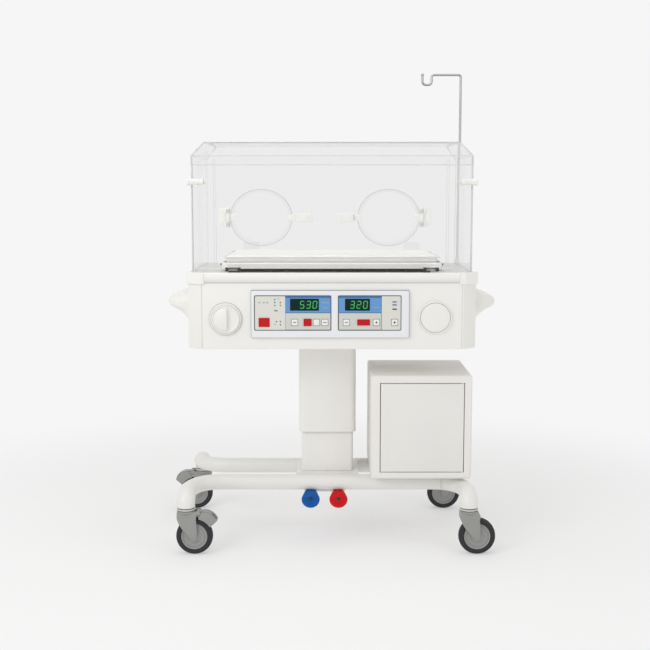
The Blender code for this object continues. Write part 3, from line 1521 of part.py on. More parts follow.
def make_panel(body, finish_of):
    half = HOOD_WIDTH / 2
    panel = block((-half, PANEL_FACE, PANEL_BOTTOM), (half, PANEL_BACK, PANEL_TOP))
    cutters = [
        prism(
            ellipse(x, PORT_HALF_WIDTH, PORT_HALF_HEIGHT),
            "Y",
            PANEL_FACE - OVERRUN,
            PANEL_BACK + OVERRUN,
        )
        for x in (LEFT_PORT_X, RIGHT_PORT_X)
    ]
    panel = cut(panel, *cutters)
    added = []
    bores = []
    length = PANEL_HINGE_LENGTH
    for side in (-1, 1):
        centre = (side * PANEL_HINGE_X, PANEL_HINGE_Y, PANEL_BOTTOM)
        added.append(rod("X", centre, PANEL_KNUCKLE_RADIUS, -length / 2, length / 2))
        arm_low = (centre[0] - length / 2 + RUN, PANEL_HINGE_Y, PANEL_BOTTOM + FIT)
        arm_high = (
            centre[0] + length / 2 - RUN,
            PANEL_FACE + PANEL_THICKNESS / 2,
            PANEL_BOTTOM + PANEL_KNUCKLE_RADIUS,
        )
        added.append(block(arm_low, arm_high))
        reach = length / 2 + OVERRUN
        bores.append(rod("X", centre, PANEL_PIN_RADIUS + RUN, -reach, reach))
        added += latch_stub(side)
    added.append(latch_rail(LEFT_PORT_X, 1))
    added.append(latch_rail(RIGHT_PORT_X, -1))
    panel = cut(fused(panel, *added), *bores)
    place(panel, "front_panel", finish_of["clear"], body, (0, PANEL_HINGE_Y, PANEL_BOTTOM), 25.0)


def latch_axis_y():
    return PANEL_FACE - LATCH_RADIUS - 2 * FIT


def latch_stub(side):
    # A post on the panel with the pin that one corner latch turns on
    start = LATCH_END - LATCH_KNOB - LATCH_LENGTH - RUN
    centre_y = latch_axis_y()
    outline = [(PANEL_FACE + PANEL_THICKNESS / 2, LATCH_Z + LATCH_RADIUS / 2)]
    outline += arc((centre_y, LATCH_Z), LATCH_RADIUS / 2, 90, 270, PIN_STEPS // 2)
    outline.append((PANEL_FACE + PANEL_THICKNESS / 2, LATCH_Z - LATCH_RADIUS / 2))
    ends = sorted((side * start, side * (start - LATCH_EAR)))
    post = prism(outline, "X", *ends)
    pin_end = LATCH_END - LATCH_KNOB
    ends = sorted((side * (start - LATCH_EAR / 2), side * pin_end))
    return [post, rod("X", (0, centre_y, LATCH_Z), LATCH_PIN_RADIUS, *ends)]


def make_panel_latches(body, finish_of):
    # A grooved barrel with a wider knob at its outer end and a thumb tab
    for name, side in (("panel_latch_left", -1), ("panel_latch_right", 1)):
        end = LATCH_END
        knob = end - LATCH_KNOB
        start = knob - LATCH_LENGTH
        third = LATCH_LENGTH / 3
        barrel = LATCH_RADIUS - LATCH_GROOVE
        groove = barrel - LATCH_GROOVE / 2
        bore = LATCH_PIN_RADIUS + RUN
        profile = [
            (bore, start),
            (barrel, start),
            (barrel, start + third),
            (groove, start + third + LATCH_GROOVE),
            (groove, start + 2 * third - LATCH_GROOVE),
            (barrel, start + 2 * third),
            (barrel, knob),
            (LATCH_RADIUS, knob),
            (LATCH_RADIUS, end),
            (0, end),
            (0, knob + LATCH_KNOB / 2),
            (bore, knob + LATCH_KNOB / 2),
        ]
        profile = [(radius, side * along) for radius, along in profile]
        centre = (0, latch_axis_y(), LATCH_Z)
        latch = turned(profile, "X", centre, KNUCKLE_STEPS, ring=True)
        half = LATCH_TAB_WIDTH / 2
        spot = side * (start + LATCH_LENGTH / 2)
        tab_low = (spot - half, latch_axis_y() - LATCH_GROOVE, LATCH_Z - LATCH_RADIUS - LATCH_TAB)
        tab_high = (spot + half, latch_axis_y() + LATCH_GROOVE, LATCH_Z - barrel + LATCH_GROOVE)
        latch = fused(latch, block(tab_low, tab_high))
        place(latch, name, finish_of["plastic"], body, (spot, latch_axis_y(), LATCH_Z))


def latch_rail(port_x, free):
    # The raised rail on the panel that a port latch slides along
    start = port_x + free * (PORT_HALF_WIDTH + PORT_OVERLAP)
    middle = start + free * (PORT_TONGUE_REACH + PORT_LATCH_LENGTH / 2)
    half = PORT_RAIL_LENGTH / 2
    low = (middle - half, PANEL_FACE - PORT_RAIL, PORT_Z - PORT_RAIL_HEIGHT / 2)
    high = (middle + half, PANEL_FACE + PANEL_THICKNESS / 2, PORT_Z + PORT_RAIL_HEIGHT / 2)
    return block(low, high)


def make_port(name, port_x, free, body, finish_of):
    # free is +1 where the door's latch side is to the right of its hinge
    flange = (PORT_HALF_WIDTH + PORT_OVERLAP, PORT_HALF_HEIGHT + PORT_OVERLAP)
    back = PANEL_FACE - FIT
    front = back - PORT_DOOR_THICKNESS
    dish_front = front - PORT_DISH
    dish_back = back - PORT_DISH
    levels = [
        (PORT_FACE_SHARE, dish_front),
        (PORT_DISH_SHARE, front),
        (1.0, front),
        (1.0, back),
        (PORT_DISH_SHARE, back),
        (PORT_FACE_SHARE, dish_back),
    ]
    rings = []
    for size, level in levels:
        flat = ellipse(port_x, flange[0] * size, flange[1] * size)
        rings.append([Vector((x, level, z)) for x, z in flat])
    door = loft(rings)

    # Arm with the middle knuckle on the hinge side, tongue on the latch side
    hinge_x = port_x - free * (flange[0] + PORT_HINGE_REACH)
    hinge_y = PANEL_FACE - PORT_HINGE_PROUD
    half_knuckle = PORT_KNUCKLE / 2
    edge = hinge_x + free * PORT_ARM_REACH
    arm_ends = sorted((hinge_x, edge))
    arm = block(
        (arm_ends[0], front - PORT_DOOR_THICKNESS / 2, PORT_Z - half_knuckle),
        (arm_ends[1], front + PORT_DOOR_THICKNESS / 2, PORT_Z + half_knuckle),
    )
    centre = (hinge_x, hinge_y, PORT_Z)
    knuckle = rod("Z", centre, PORT_KNUCKLE_RADIUS, -half_knuckle, half_knuckle, KNUCKLE_STEPS)
    latch_side = port_x + free * flange[0]
    tongue_ends = sorted((latch_side - free * PORT_OVERLAP, latch_side + free * PORT_TONGUE_REACH))
    half_tongue = PORT_TONGUE_HEIGHT / 2
    tongue = block(
        (tongue_ends[0], front - PORT_DOOR_THICKNESS / 2, PORT_Z - half_tongue),
        (tongue_ends[1], front + PORT_DOOR_THICKNESS / 4, PORT_Z + half_tongue),
    )
    reach = half_knuckle + OVERRUN
    bore = rod("Z", centre, PORT_PIN_RADIUS + RUN, -reach, reach)
    door = cut(fused(door, arm, knuckle, tongue), bore)
    place(door, f"port_door_{name}", finish_of["clear"], body, centre, 25.0)

    # The bracket on the panel, with its two knuckles and the pin
    half_height = PORT_HINGE_HEIGHT / 2
    inner = half_knuckle + RUN
    ends = sorted((hinge_x - free * PORT_KNUCKLE_RADIUS, hinge_x - free * PORT_BRACKET_REACH))
    bracket = block(
        (ends[0], back - PORT_BRACKET, PORT_Z - half_height),
        (ends[1], back, PORT_Z + half_height),
    )
    knuckles = []
    for side in (-1, 1):
        span = sorted((side * inner, side * half_height))
        knuckles.append(rod("Z", centre, PORT_KNUCKLE_RADIUS, *span, KNUCKLE_STEPS))
        web_ends = sorted((hinge_x, hinge_x - free * 2 * PORT_KNUCKLE_RADIUS))
        web_low = (web_ends[0], hinge_y - PORT_BRACKET / 4, PORT_Z + span[0])
        web_high = (web_ends[1], back - PORT_BRACKET / 4, PORT_Z + span[1])
        knuckles.append(block(web_low, web_high))
    pin = rod("Z", centre, PORT_PIN_RADIUS, -half_height, half_height)
    bracket = fused(bracket, *knuckles, pin)
    place(bracket, f"port_hinge_{name}", finish_of["plastic"], body, centre)

    # The sprung latch: a nose under the door's tongue and a body that slides on the rail
    nose_start = latch_side + free * FIT * 2
    body_start = latch_side + free * (PORT_TONGUE_REACH + FIT * 2)
    body_end = body_start + free * (PORT_LATCH_LENGTH - PORT_NOSE)
    half_latch = PORT_LATCH_HEIGHT / 2
    nose_x = sorted((nose_start + free * PORT_LATCH_TRAVEL, body_start + free * PORT_NOSE))
    nose = block(
        (nose_x[0], back - PORT_NOSE_THICKNESS, PORT_Z - half_tongue),
        (nose_x[1], back, PORT_Z + half_tongue),
    )
    body_x = sorted((body_start, body_end))
    grip = block(
        (body_x[0], back - PORT_LATCH_THICKNESS, PORT_Z - half_latch),
        (body_x[1], back, PORT_Z + half_latch),
        PORT_NOSE_THICKNESS / 2,
    )
    rail_middle = latch_side + free * (PORT_TONGUE_REACH + PORT_LATCH_LENGTH / 2)
    half_rail = PORT_RAIL_LENGTH / 2
    slack = PORT_LATCH_TRAVEL + FIT
    channel_x = sorted((rail_middle - free * (half_rail + slack), rail_middle + free * (half_rail + FIT)))
    channel = block(
        (channel_x[0], PANEL_FACE - PORT_RAIL - FIT, PORT_Z - PORT_RAIL_HEIGHT / 2 - FIT),
        (channel_x[1], back + OVERRUN, PORT_Z + PORT_RAIL_HEIGHT / 2 + FIT),
    )
    latch = cut(fused(grip, nose), channel)
    spot = (body_start, back, PORT_Z)
    place(latch, f"port_latch_{name}", finish_of["plastic"], body, spot)


def make_part():
    clear_scene()
    finish_of = {
        "paint": make_material("paint", (0.82, 0.81, 0.77), 0.45),
        "shell": make_material("shell", (0.86, 0.85, 0.81), 0.40),
        "cabinet": make_material("cabinet", (0.78, 0.77, 0.73), 0.50),
        "bezel": make_material("bezel", (0.80, 0.81, 0.82), 0.35),
        "module": make_material("module", (0.68, 0.68, 0.62), 0.45),
        "plastic": make_material("plastic", (0.85, 0.85, 0.84), 0.40),
        "tray": make_material("tray", (0.88, 0.88, 0.87), 0.30),
        "mattress": make_material("mattress", (0.80, 0.80, 0.80), 0.80),
        "clear": make_material("clear", (0.93, 0.95, 0.96), 0.05, 0.0, 0.25),
        "steel": make_material("steel", (0.60, 0.60, 0.60), 0.30, 1.0),
        "fork": make_material("fork", (0.38, 0.38, 0.37), 0.40),
        "hub": make_material("hub", (0.36, 0.36, 0.35), 0.50),
        "tyre": make_material("tyre", (0.05, 0.05, 0.055), 0.75),
        "display": make_material("display", (0.00, 0.04, 0.02), 0.15),
        "red": make_material("red", (0.60, 0.01, 0.01), 0.35),
        "blue": make_material("blue", (0.00, 0.10, 0.40), 0.35),
    }
    trolley = frame_at("trolley_frame", TROLLEY_X)
    body = frame_at("body_frame", BODY_X)

    make_tube("front_tube", -1, trolley, finish_of)
    make_tube("rear_tube", 1, trolley, finish_of)
    make_foot(trolley, finish_of)
    make_column(trolley, body, finish_of)
    make_pedals(trolley, finish_of)
    make_casters(trolley, finish_of)
    make_cabinet(trolley, finish_of)

    make_tub(body, finish_of)
    make_deck(body, finish_of)
    make_handles(body, finish_of)
    make_controls(body, finish_of)
    make_knob(body, finish_of)
    make_air_unit(body, finish_of)
    make_tray(body, finish_of)
    make_pole(body, finish_of)

    make_hood(body, finish_of)
    make_panel(body, finish_of)
    make_panel_latches(body, finish_of)
    make_port("left", LEFT_PORT_X, 1, body, finish_of)
    make_port("right", RIGHT_PORT_X, -1, body, finish_of)


make_part()
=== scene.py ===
import math

import bmesh
import bpy
from mathutils import Matrix, Vector


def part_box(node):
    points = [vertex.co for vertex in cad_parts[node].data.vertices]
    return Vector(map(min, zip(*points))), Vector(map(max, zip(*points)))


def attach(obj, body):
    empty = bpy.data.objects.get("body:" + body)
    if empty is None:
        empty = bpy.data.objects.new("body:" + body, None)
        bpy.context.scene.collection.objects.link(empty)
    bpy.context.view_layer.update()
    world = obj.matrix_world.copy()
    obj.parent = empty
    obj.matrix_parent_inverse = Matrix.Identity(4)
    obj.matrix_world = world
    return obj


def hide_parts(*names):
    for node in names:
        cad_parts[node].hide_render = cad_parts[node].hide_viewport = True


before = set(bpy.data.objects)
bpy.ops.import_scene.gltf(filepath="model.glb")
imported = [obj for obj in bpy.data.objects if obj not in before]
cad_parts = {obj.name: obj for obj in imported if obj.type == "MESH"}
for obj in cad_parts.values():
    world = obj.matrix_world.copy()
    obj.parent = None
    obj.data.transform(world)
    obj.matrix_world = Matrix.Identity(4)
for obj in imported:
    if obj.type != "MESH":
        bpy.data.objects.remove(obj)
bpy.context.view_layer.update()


def srgb(red, green, blue):
    # a colour read as 0 to 255, in the renderer's linear values
    shares = [value / 255 for value in (red, green, blue)]
    linear = [share / 12.92 if share <= 0.04045 else ((share + 0.055) / 1.055) ** 2.4 for share in shares]
    return (*linear, 1.0)


def pick(look, names):
    # several values of a dictionary, named in one string
    return [look[name] for name in names.split()]


# camera, at the photograph's place

cameraLook = {"lens": 61.98, "sensor": 36.0, "place": (-0.0038, -3.975, 1.23), "tilt": 83.121}


def makeCamera():
    data = bpy.data.cameras.new("frontCamera")
    data.lens, data.sensor_width = pick(cameraLook, "lens sensor")
    camera = bpy.data.objects.new("frontCamera", data)
    camera.location = cameraLook["place"]
    camera.rotation_euler = (math.radians(cameraLook["tilt"]), 0, 0)
    bpy.context.scene.collection.objects.link(camera)
    bpy.context.scene.camera = camera


makeCamera()
print("camera placed")


# finishes


def startFinish(name):
    finish = bpy.data.materials.new(name)
    finish.use_nodes = True
    return finish, finish.node_tree, finish.node_tree.nodes["Principled BSDF"]


def setInputs(node, values):
    for name, value in values.items():
        node.inputs[name].default_value = value
    return node


def addNode(tree, kind, values=None, **settings):
    node = tree.nodes.new("ShaderNode" + kind)
    for name, value in settings.items():
        setattr(node, name, value)
    return setInputs(node, values or {})


def linkAll(tree, *pairs):
    for source, target in pairs:
        tree.links.new(source, target)


def noiseOf(tree, scale, detail=2.0, stretch=(1, 1, 1)):
    where = addNode(tree, "TexCoord")
    mapping = addNode(tree, "Mapping", {"Scale": stretch})
    noise = addNode(tree, "TexNoise", {"Scale": scale, "Detail": detail})
    tree.links.new(where.outputs["Object"], mapping.inputs["Vector"])
    tree.links.new(mapping.outputs["Vector"], noise.inputs["Vector"])
    return noise.outputs["Fac"]


def spread(tree, source, low, high, shader):
    # the middle of a noise carried to a range of roughness
    reach = addNode(tree, "MapRange", {"From Min": 0.35, "From Max": 0.65, "To Min": low, "To Max": high})
    linkAll(tree, (source, reach.inputs["Value"]), (reach.outputs["Result"], shader.inputs["Roughness"]))


def blend(tree, source, colour, shade, shader):
    # the colour, clouded with a darker one
    mix = addNode(tree, "Mix", data_type="RGBA")
    mix.inputs[6].default_value = colour
    mix.inputs[7].default_value = (*[value * shade for value in colour[:3]], 1.0)
    linkAll(tree, (source, mix.inputs[0]), (mix.outputs[2], shader.inputs["Base Color"]))


def bump(tree, source, strength, depth, shader):
    node = addNode(tree, "Bump", {"Strength": strength, "Distance": depth})
    linkAll(tree, (source, node.inputs["Height"]), (node.outputs["Normal"], shader.inputs["Normal"]))


def mixShaders(tree, share, first, second, output):
    mix = addNode(tree, "MixShader")
    for source, socket in ((share, "Fac"), (first.outputs[0], 1), (second.outputs[0], 2)):
        tree.links.new(source, mix.inputs[socket])
    tree.links.new(mix.outputs["Shader"], tree.nodes[output].inputs["Surface"])


def mouldedFinish(name, colour, roughness, gloss=0.5, grain=700, depth=0.00012, coat=0.0):
    # moulded or painted surface: faint clouding, uneven gloss and a fine grain
    finish, tree, shader = startFinish(name)
    blend(tree, noiseOf(tree, 5.0, 4.0), srgb(*colour), 0.94, shader)
    spread(tree, noiseOf(tree, 24.0, 3.0), roughness - 0.05, roughness + 0.07, shader)
    bump(tree, noiseOf(tree, grain), 0.25, depth, shader)
    setInputs(shader, {"Coat Weight": coat, "Coat Roughness": 0.15, "Specular IOR Level": gloss})
    return finish


def metalFinish(name, colour, roughness, stretch):
    finish, tree, shader = startFinish(name)
    streak = noiseOf(tree, 160.0, 3.0, stretch)
    blend(tree, streak, srgb(*colour), 0.82, shader)
    spread(tree, streak, roughness - 0.06, roughness + 0.08, shader)
    bump(tree, streak, 0.12, 0.0001, shader)
    setInputs(shader, {"Metallic": 1.0})
    return finish


acrylicLook = {"bend": 1.12, "roughness": 0.008, "uneven": 0.015, "clear": 0.96, "straightShare": 0.82}


def acrylicFinish(name, level):
    # clear sheet: refracts what is seen through it and lets the lamps through
    finish, tree, shader = startFinish(name)
    bend, roughness, uneven, clear, share = pick(acrylicLook, "bend roughness uneven clear straightShare")
    setInputs(shader, {"Base Color": srgb(level, level, level), "Transmission Weight": 1.0, "IOR": bend})
    spread(tree, noiseOf(tree, 9.0), roughness, roughness + uneven, shader)
    path = addNode(tree, "LightPath")
    through = addNode(tree, "BsdfTransparent", {"Color": (clear, clear, clear, 1.0)})
    straight = addNode(tree, "Math", {1: share}, operation="MULTIPLY_ADD", use_clamp=True)
    for ray, socket in (("Is Diffuse Ray", 0), ("Is Shadow Ray", 2)):
        tree.links.new(path.outputs[ray], straight.inputs[socket])
    mixShaders(tree, straight.outputs["Value"], shader, through, "Material Output")
    return finish


def coverClothFinish(name, colour):
    # a close plain weave, matt, with a fine crossing bump
    finish, tree, shader = startFinish(name)
    where = addNode(tree, "TexCoord")
    weave = addNode(tree, "Math", operation="MULTIPLY")
    for i, direction in enumerate("XY"):
        wave = addNode(tree, "TexWave", {"Scale": 260.0, "Distortion": 0.6}, bands_direction=direction)
        tree.links.new(where.outputs["Object"], wave.inputs["Vector"])
        tree.links.new(wave.outputs["Fac"], weave.inputs[i])
    blend(tree, noiseOf(tree, 14.0, 4.0), srgb(*colour), 0.93, shader)
    spread(tree, weave.outputs["Value"], 0.72, 0.86, shader)
    bump(tree, weave.outputs["Value"], 0.2, 0.0003, shader)
    setInputs(shader, {"Specular IOR Level": 0.0})
    return finish


def litFinish(name, colour, strength):
    finish, tree, shader = startFinish(name)
    blend(tree, noiseOf(tree, 60.0), srgb(*colour), 0.8, shader)
    setInputs(shader, {"Emission Color": srgb(*colour), "Emission Strength": strength, "Roughness": 0.4})
    return finish


# colour, roughness, then gloss, grain, grain depth and coat where they differ
mouldedLooks = {
    "tubePaint": ((238, 237, 233), 0.36, 0.5, 260, 0.0002, 0.15),
    "columnPaint": ((244, 242, 238), 0.42, 0.5, 300, 0.0002),
    "tubShell": ((243, 242, 238), 0.4), "rimShell": ((246, 245, 242), 0.36),
    "capShell": ((243, 242, 238), 0.4),
    # the cap line grey paints the shade in the filter cover's groove
    "capGrooveShade": ((158, 159, 158), 0.4), "gripShell": ((240, 239, 234), 0.42),
    "cabinetCoat": ((239, 237, 233), 0.48, 0.5, 420, 0.0002),
    "doorCoat": ((236, 235, 231), 0.46, 0.5, 420, 0.0002),
    "bezelShell": ((236, 238, 241), 0.34), "moduleFace": ((222, 222, 214), 0.46, 0.5, 900, 0.0001),
    "keyZone": ((210, 210, 204), 0.46, 0.5, 900, 0.0001), "keyPad": ((240, 240, 238), 0.4),
    "keyFrame": ((120, 122, 124), 0.45), "blueZone": ((98, 152, 206), 0.5), "blueBand": ((66, 112, 160), 0.4),
    # the seam grey colours a real seam on the front tube and also paints shade in gaps and grooves
    "darkLine": ((58, 62, 68), 0.45), "darkMark": ((50, 38, 44), 0.45), "seamGreyAndGapShade": ((196, 198, 199), 0.3),
    "portSeam": ((186, 188, 189), 0.3), "shadowGap": ((150, 148, 143), 0.6),
    # the cradle's warm grey paints the shade between the column and the cabinet
    "cradleShadedPaint": ((196, 189, 180), 0.5, 0.5, 300, 0.0002), "greyMark": ((164, 168, 172), 0.45),
    "markBlue": ((60, 110, 170), 0.4), "lensGreen": ((0, 38, 34), 0.25, 0.15),
    "digitOff": ((4, 44, 32), 0.35),
    "redKey": ((194, 4, 12), 0.42, 0.3), "redPedal": ((206, 4, 14), 0.45, 0.25),
    "bluePedal": ((0, 86, 166), 0.45, 0.25),
    # the deck's white is darker than the rim's: painted shade under the hood
    "whiteFitting": ((240, 240, 236), 0.38), "deckShellShaded": ((216, 216, 213), 0.5, 0.25),
    "outlineGrey": ((136, 140, 146), 0.45), "trayShell": ((249, 248, 246), 0.34, 0.3),
    # the next dark grey colours small dark parts and also paints the shadow under the tray
    "darkPartsAndShade": ((62, 61, 57), 0.55, 0.3), "greyNylon": ((154, 154, 151), 0.42, 0.5, 500, 0.0002),
    "hubNylon": ((156, 157, 155), 0.44, 0.5, 500, 0.0002),
    "tyreRubber": ((50, 50, 53), 0.68, 0.3, 900, 0.0003),
    # the collar's light ring is a painted highlight and its dark groove painted shade
    "collarRingHighlight": ((214, 215, 212), 0.38), "collarGrooveShade": ((92, 93, 92), 0.5),
    # the hinge grey paints the shading of the port hinges' round barrels
    "hingeCollarShade": ((206, 206, 202), 0.4),
    "edgeFrost": ((206, 209, 211), 0.5), "foldFrost": ((216, 218, 219), 0.5), "boltDark": ((24, 26, 34), 0.3),
    "fanShell": ((120, 122, 122), 0.5),
}
finishes = {name: mouldedFinish(name, *look) for name, look in mouldedLooks.items()}
finishes["digitGreen"] = litFinish("digitGreen", (56, 176, 92), 0.28)
finishes["brightSteel"] = metalFinish("brightSteel", (176, 176, 174), 0.28, (1, 1, 0.05))
finishes["darkSteel"] = metalFinish("darkSteel", (120, 120, 118), 0.36, (1, 0.1, 1))
for name, level in (("clearHood", 249), ("clearPanel", 250), ("clearDoor", 250)):
    finishes[name] = acrylicFinish(name, level)
finishes["coverCloth"] = coverClothFinish("coverCloth", (241, 241, 238))
print("finishes made", len(finishes))


# mesh helpers

bothSides = (-1, 1)
fourCorners = ((-1, -1), (-1, 1), (1, -1), (1, 1))


def around(middle, half):
    return middle - half, middle + half


def onAxis(axis, first, second, along):
    places = {"X": (along, first, second), "Y": (first, along, second), "Z": (first, second, along)}
    return Vector(places[axis])


def pushFaces(part, faces, step):
    # copies of the faces, joined to the old ones and moved by a step
    made = bmesh.ops.extrude_face_region(part, geom=list(faces), use_keep_orig=True)
    fresh = [item for item in made["geom"] if isinstance(item, bmesh.types.BMVert)]
    bmesh.ops.translate(part, verts=fresh, vec=step)
    bmesh.ops.recalc_face_normals(part, faces=part.faces)
    return part


def addPlate(outline, axis, low, high):
    # a flat outline pushed from low to high along an axis
    part = bmesh.new()
    face = part.faces.new([part.verts.new(onAxis(axis, a, b, low)) for a, b in outline])
    return pushFaces(part, [face], onAxis(axis, 0, 0, high - low))


def addHoledPlate(outer, holes, low, high):
    # an upright plate with holes, pushed from low to high along Y
    part = bmesh.new()
    edges = []
    for loop in [outer] + holes:
        verts = [part.verts.new((x, low, z)) for x, z in loop]
        edges += [part.edges.new(pair) for pair in zip(verts, verts[1:] + verts[:1])]
    bmesh.ops.triangle_fill(part, use_beauty=True, use_dissolve=False, edges=edges)
    return pushFaces(part, part.faces, (0, high - low, 0))


def addTurn(profile, axis, centre=(0, 0, 0), steps=48, ring=False):
    # a profile of radius and place, spun round an axis
    part = bmesh.new()
    outward = Vector((0, 0, 1)) if axis == "X" else Vector((1, 0, 0))
    line = [part.verts.new(onAxis(axis, 0, 0, along) + outward * radius) for radius, along in profile]
    pairs = list(zip(line, line[1:])) + ([(line[-1], line[0])] if ring else [])
    edges = [part.edges.new(pair) for pair in pairs]
    turn = {"cent": (0, 0, 0), "axis": onAxis(axis, 0, 0, 1), "angle": 2 * math.pi}
    bmesh.ops.spin(part, geom=line + edges, steps=steps, use_merge=True, **turn)
    bmesh.ops.remove_doubles(part, verts=part.verts, dist=0.000002)
    bmesh.ops.translate(part, verts=part.verts, vec=centre)
    bmesh.ops.recalc_face_normals(part, faces=part.faces)
    return part


def addRod(radius, span, axis, centre=(0, 0, 0), steps=32, inner=0):
    # a round bar, or a sleeve where it has an inner radius
    start, end = sorted(span)
    profile = [(inner, start), (radius, start), (radius, end), (inner, end)]
    return addTurn(profile, axis, centre, steps, ring=inner > 0)


def mm(*rows):
    # a table in millimetres, in the file's metres
    return [tuple(None if value is None else value / 1000 for value in row) for row in rows]


def profileAt(radius, along, steps):
    # a profile measured from a radius and a place; None stands for the axis
    return [(0 if out is None else radius + out, along + step) for out, step in steps]


def roundOff(part, radius, segments=3, sharper=28, where=None):
    # bevel of the edges that are sharper than an angle, or of those that where picks
    bmesh.ops.recalc_face_normals(part, faces=part.faces)
    edges = []
    for edge in part.edges:
        if len(edge.link_faces) == 2 and math.degrees(edge.calc_face_angle(0)) > sharper:
            if where is None or where(edge):
                edges.append(edge)
    manner = {"profile": 0.5, "affect": "EDGES", "material": -1, "clamp_overlap": True}
    bmesh.ops.bevel(part, geom=edges, offset=radius, segments=segments, **manner)
    return part


def addBlock(spanX, spanY, spanZ, radius, segments=2):
    # a block between three pairs of places, its edges rounded
    low, high = (Vector(ends) for ends in zip(*(sorted(span) for span in (spanX, spanY, spanZ))))
    part = bmesh.new()
    size = Matrix.Diagonal((*(high - low), 1.0))
    bmesh.ops.create_cube(part, size=1.0, matrix=Matrix.Translation((low + high) / 2) @ size)
    return roundOff(part, radius, segments)


def arcOf(centre, radius, start, end, steps=12):
    angles = [math.radians(start + (end - start) * i / steps) for i in range(steps + 1)]
    return [(centre[0] + radius * math.cos(angle), centre[1] + radius * math.sin(angle)) for angle in angles]


def roundRect(left, bottom, right, top, radius, steps=8):
    outline = arcOf((right - radius, top - radius), radius, 0, 90, steps)
    outline += arcOf((left + radius, top - radius), radius, 90, 180, steps)
    outline += arcOf((left + radius, bottom + radius), radius, 180, 270, steps)
    return outline + arcOf((right - radius, bottom + radius), radius, 270, 360, steps)


def roundBox(low, high, grow, radius, steps=8, up="y"):
    # the outline of a box, grown on every side, seen from above or, with up="z", from the front
    bottom, top = getattr(low, up), getattr(high, up)
    return roundRect(low.x - grow, bottom - grow, high.x + grow, top + grow, radius, steps)


def bentPath(corners, radii, steps=14):
    # a path whose inner corners are bent to the given radii
    corners = [Vector(corner) for corner in corners]
    path = [corners[0]]
    for before, corner, after, radius in zip(corners, corners[1:], corners[2:], radii):
        into = (before - corner).normalized()
        out = (after - corner).normalized()
        half = into.angle(out) / 2
        start = corner + into * radius / math.tan(half)
        middle = corner + (into + out).normalized() * radius / math.sin(half)
        axis = into.cross(out).normalized()
        for i in range(steps + 1):
            turn = Matrix.Rotation(-(math.pi - 2 * half) * i / steps, 3, axis)
            path.append(middle + turn @ (start - middle))
    return path + [corners[-1]]


def addPipe(path, radius, resolution=4, swell=None):
    curve = bpy.data.curves.new("pipe", "CURVE")
    curve.dimensions = "3D"
    curve.bevel_depth = radius
    curve.bevel_resolution = resolution
    curve.use_fill_caps = True
    line = curve.splines.new("POLY")
    line.points.add(len(path) - 1)
    for point, place in zip(line.points, path):
        point.co = (*place, 1)
        point.radius = swell(place) if swell else 1.0
    holder = bpy.data.objects.new("pipe", curve)
    data = bpy.data.meshes.new_from_object(holder)
    part = bmesh.new()
    part.from_mesh(data)
    bmesh.ops.remove_doubles(part, verts=part.verts, dist=0.000002)
    bmesh.ops.recalc_face_normals(part, faces=part.faces)
    bpy.data.objects.remove(holder)
    bpy.data.curves.remove(curve)
    bpy.data.meshes.remove(data)
    return part


def moved(part, matrix):
    bmesh.ops.transform(part, matrix=matrix, verts=part.verts)
    return part


def facing(part, *directions):
    # the largest face towards each direction
    found = []
    for direction in directions:
        faces = [face for face in part.faces if face.normal.dot(Vector(direction)) > 0.99]
        found.append(max(faces, key=lambda face: face.calc_area()))
    return found


def pushIn(part, face, thickness, depth=0):
    bmesh.ops.inset_region(part, faces=[face], thickness=thickness, depth=depth, use_even_offset=True)


def hollowOut(part, width=0):
    # opens a plate's top and bottom, leaving a ledge of some width
    for face in facing(part, (0, 0, 1), (0, 0, -1)):
        if width:
            pushIn(part, face, width)
        bmesh.ops.delete(part, geom=[face], context="FACES")
    return part


def finishPiece(parts, name, body, finish, slot, nodes=(), smooth=32, wall=0.0, edge=0.0):
    # one object from its parts, riding on its body and standing for its CAD nodes
    parts = parts if isinstance(parts, list) else [parts]
    whole = bmesh.new()
    for part in parts:
        data = bpy.data.meshes.new("part")
        part.to_mesh(data)
        part.free()
        whole.from_mesh(data)
        bpy.data.meshes.remove(data)
    data = bpy.data.meshes.new(name)
    whole.to_mesh(data)
    whole.free()
    piece = bpy.data.objects.new(name, data)
    bpy.context.scene.collection.objects.link(piece)
    data.materials.append(finishes[finish])
    if smooth:
        data.shade_smooth()
        data.set_sharp_from_angle(angle=math.radians(smooth))
    else:
        data.shade_flat()
    if wall:
        shell = piece.modifiers.new("wall", "SOLIDIFY")
        shell.thickness = wall
        shell.offset = -1
        shell.use_even_offset = True
    if edge:
        bevel = piece.modifiers.new("edge", "BEVEL")
        bevel.width = edge
        bevel.segments = 3
        bevel.limit_method = "ANGLE"
        bevel.angle_limit = math.radians(40)
        bevel.harden_normals = bool(smooth)
    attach(piece, body)
    if nodes:
        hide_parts(*nodes)
    return piece


# places that many pieces share

trolleyX = sum(corner.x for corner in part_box("front_tube")) / 2
bodyX = sum(corner.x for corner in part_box("tub")) / 2
tubLow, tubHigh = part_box("tub")
hoodLow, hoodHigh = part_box("hood_shell")
frontFace = tubLow.y - 0.0003
sheetFront = -0.245  # the front of the hood and of its panel
pivotY = -0.2525  # the line of the panel's and the ports' hinges
deckTop = 0.956


# trolley tubes

tubeLook = {
    "radius": 0.027, "height": 0.2077, "halfTrack": 0.48, "farY": 0.277, "nearY": 0.12, "planBend": 0.11,
    "dropBend": 0.036, "end": 0.1625, "sag": 0.009, "swell": 0.13, "rim": 0.0308,
    "seamTurn": 20.0, "seamWidth": 0.0012, "seamProud": 0.0003, "seamApart": 0.0022,
}


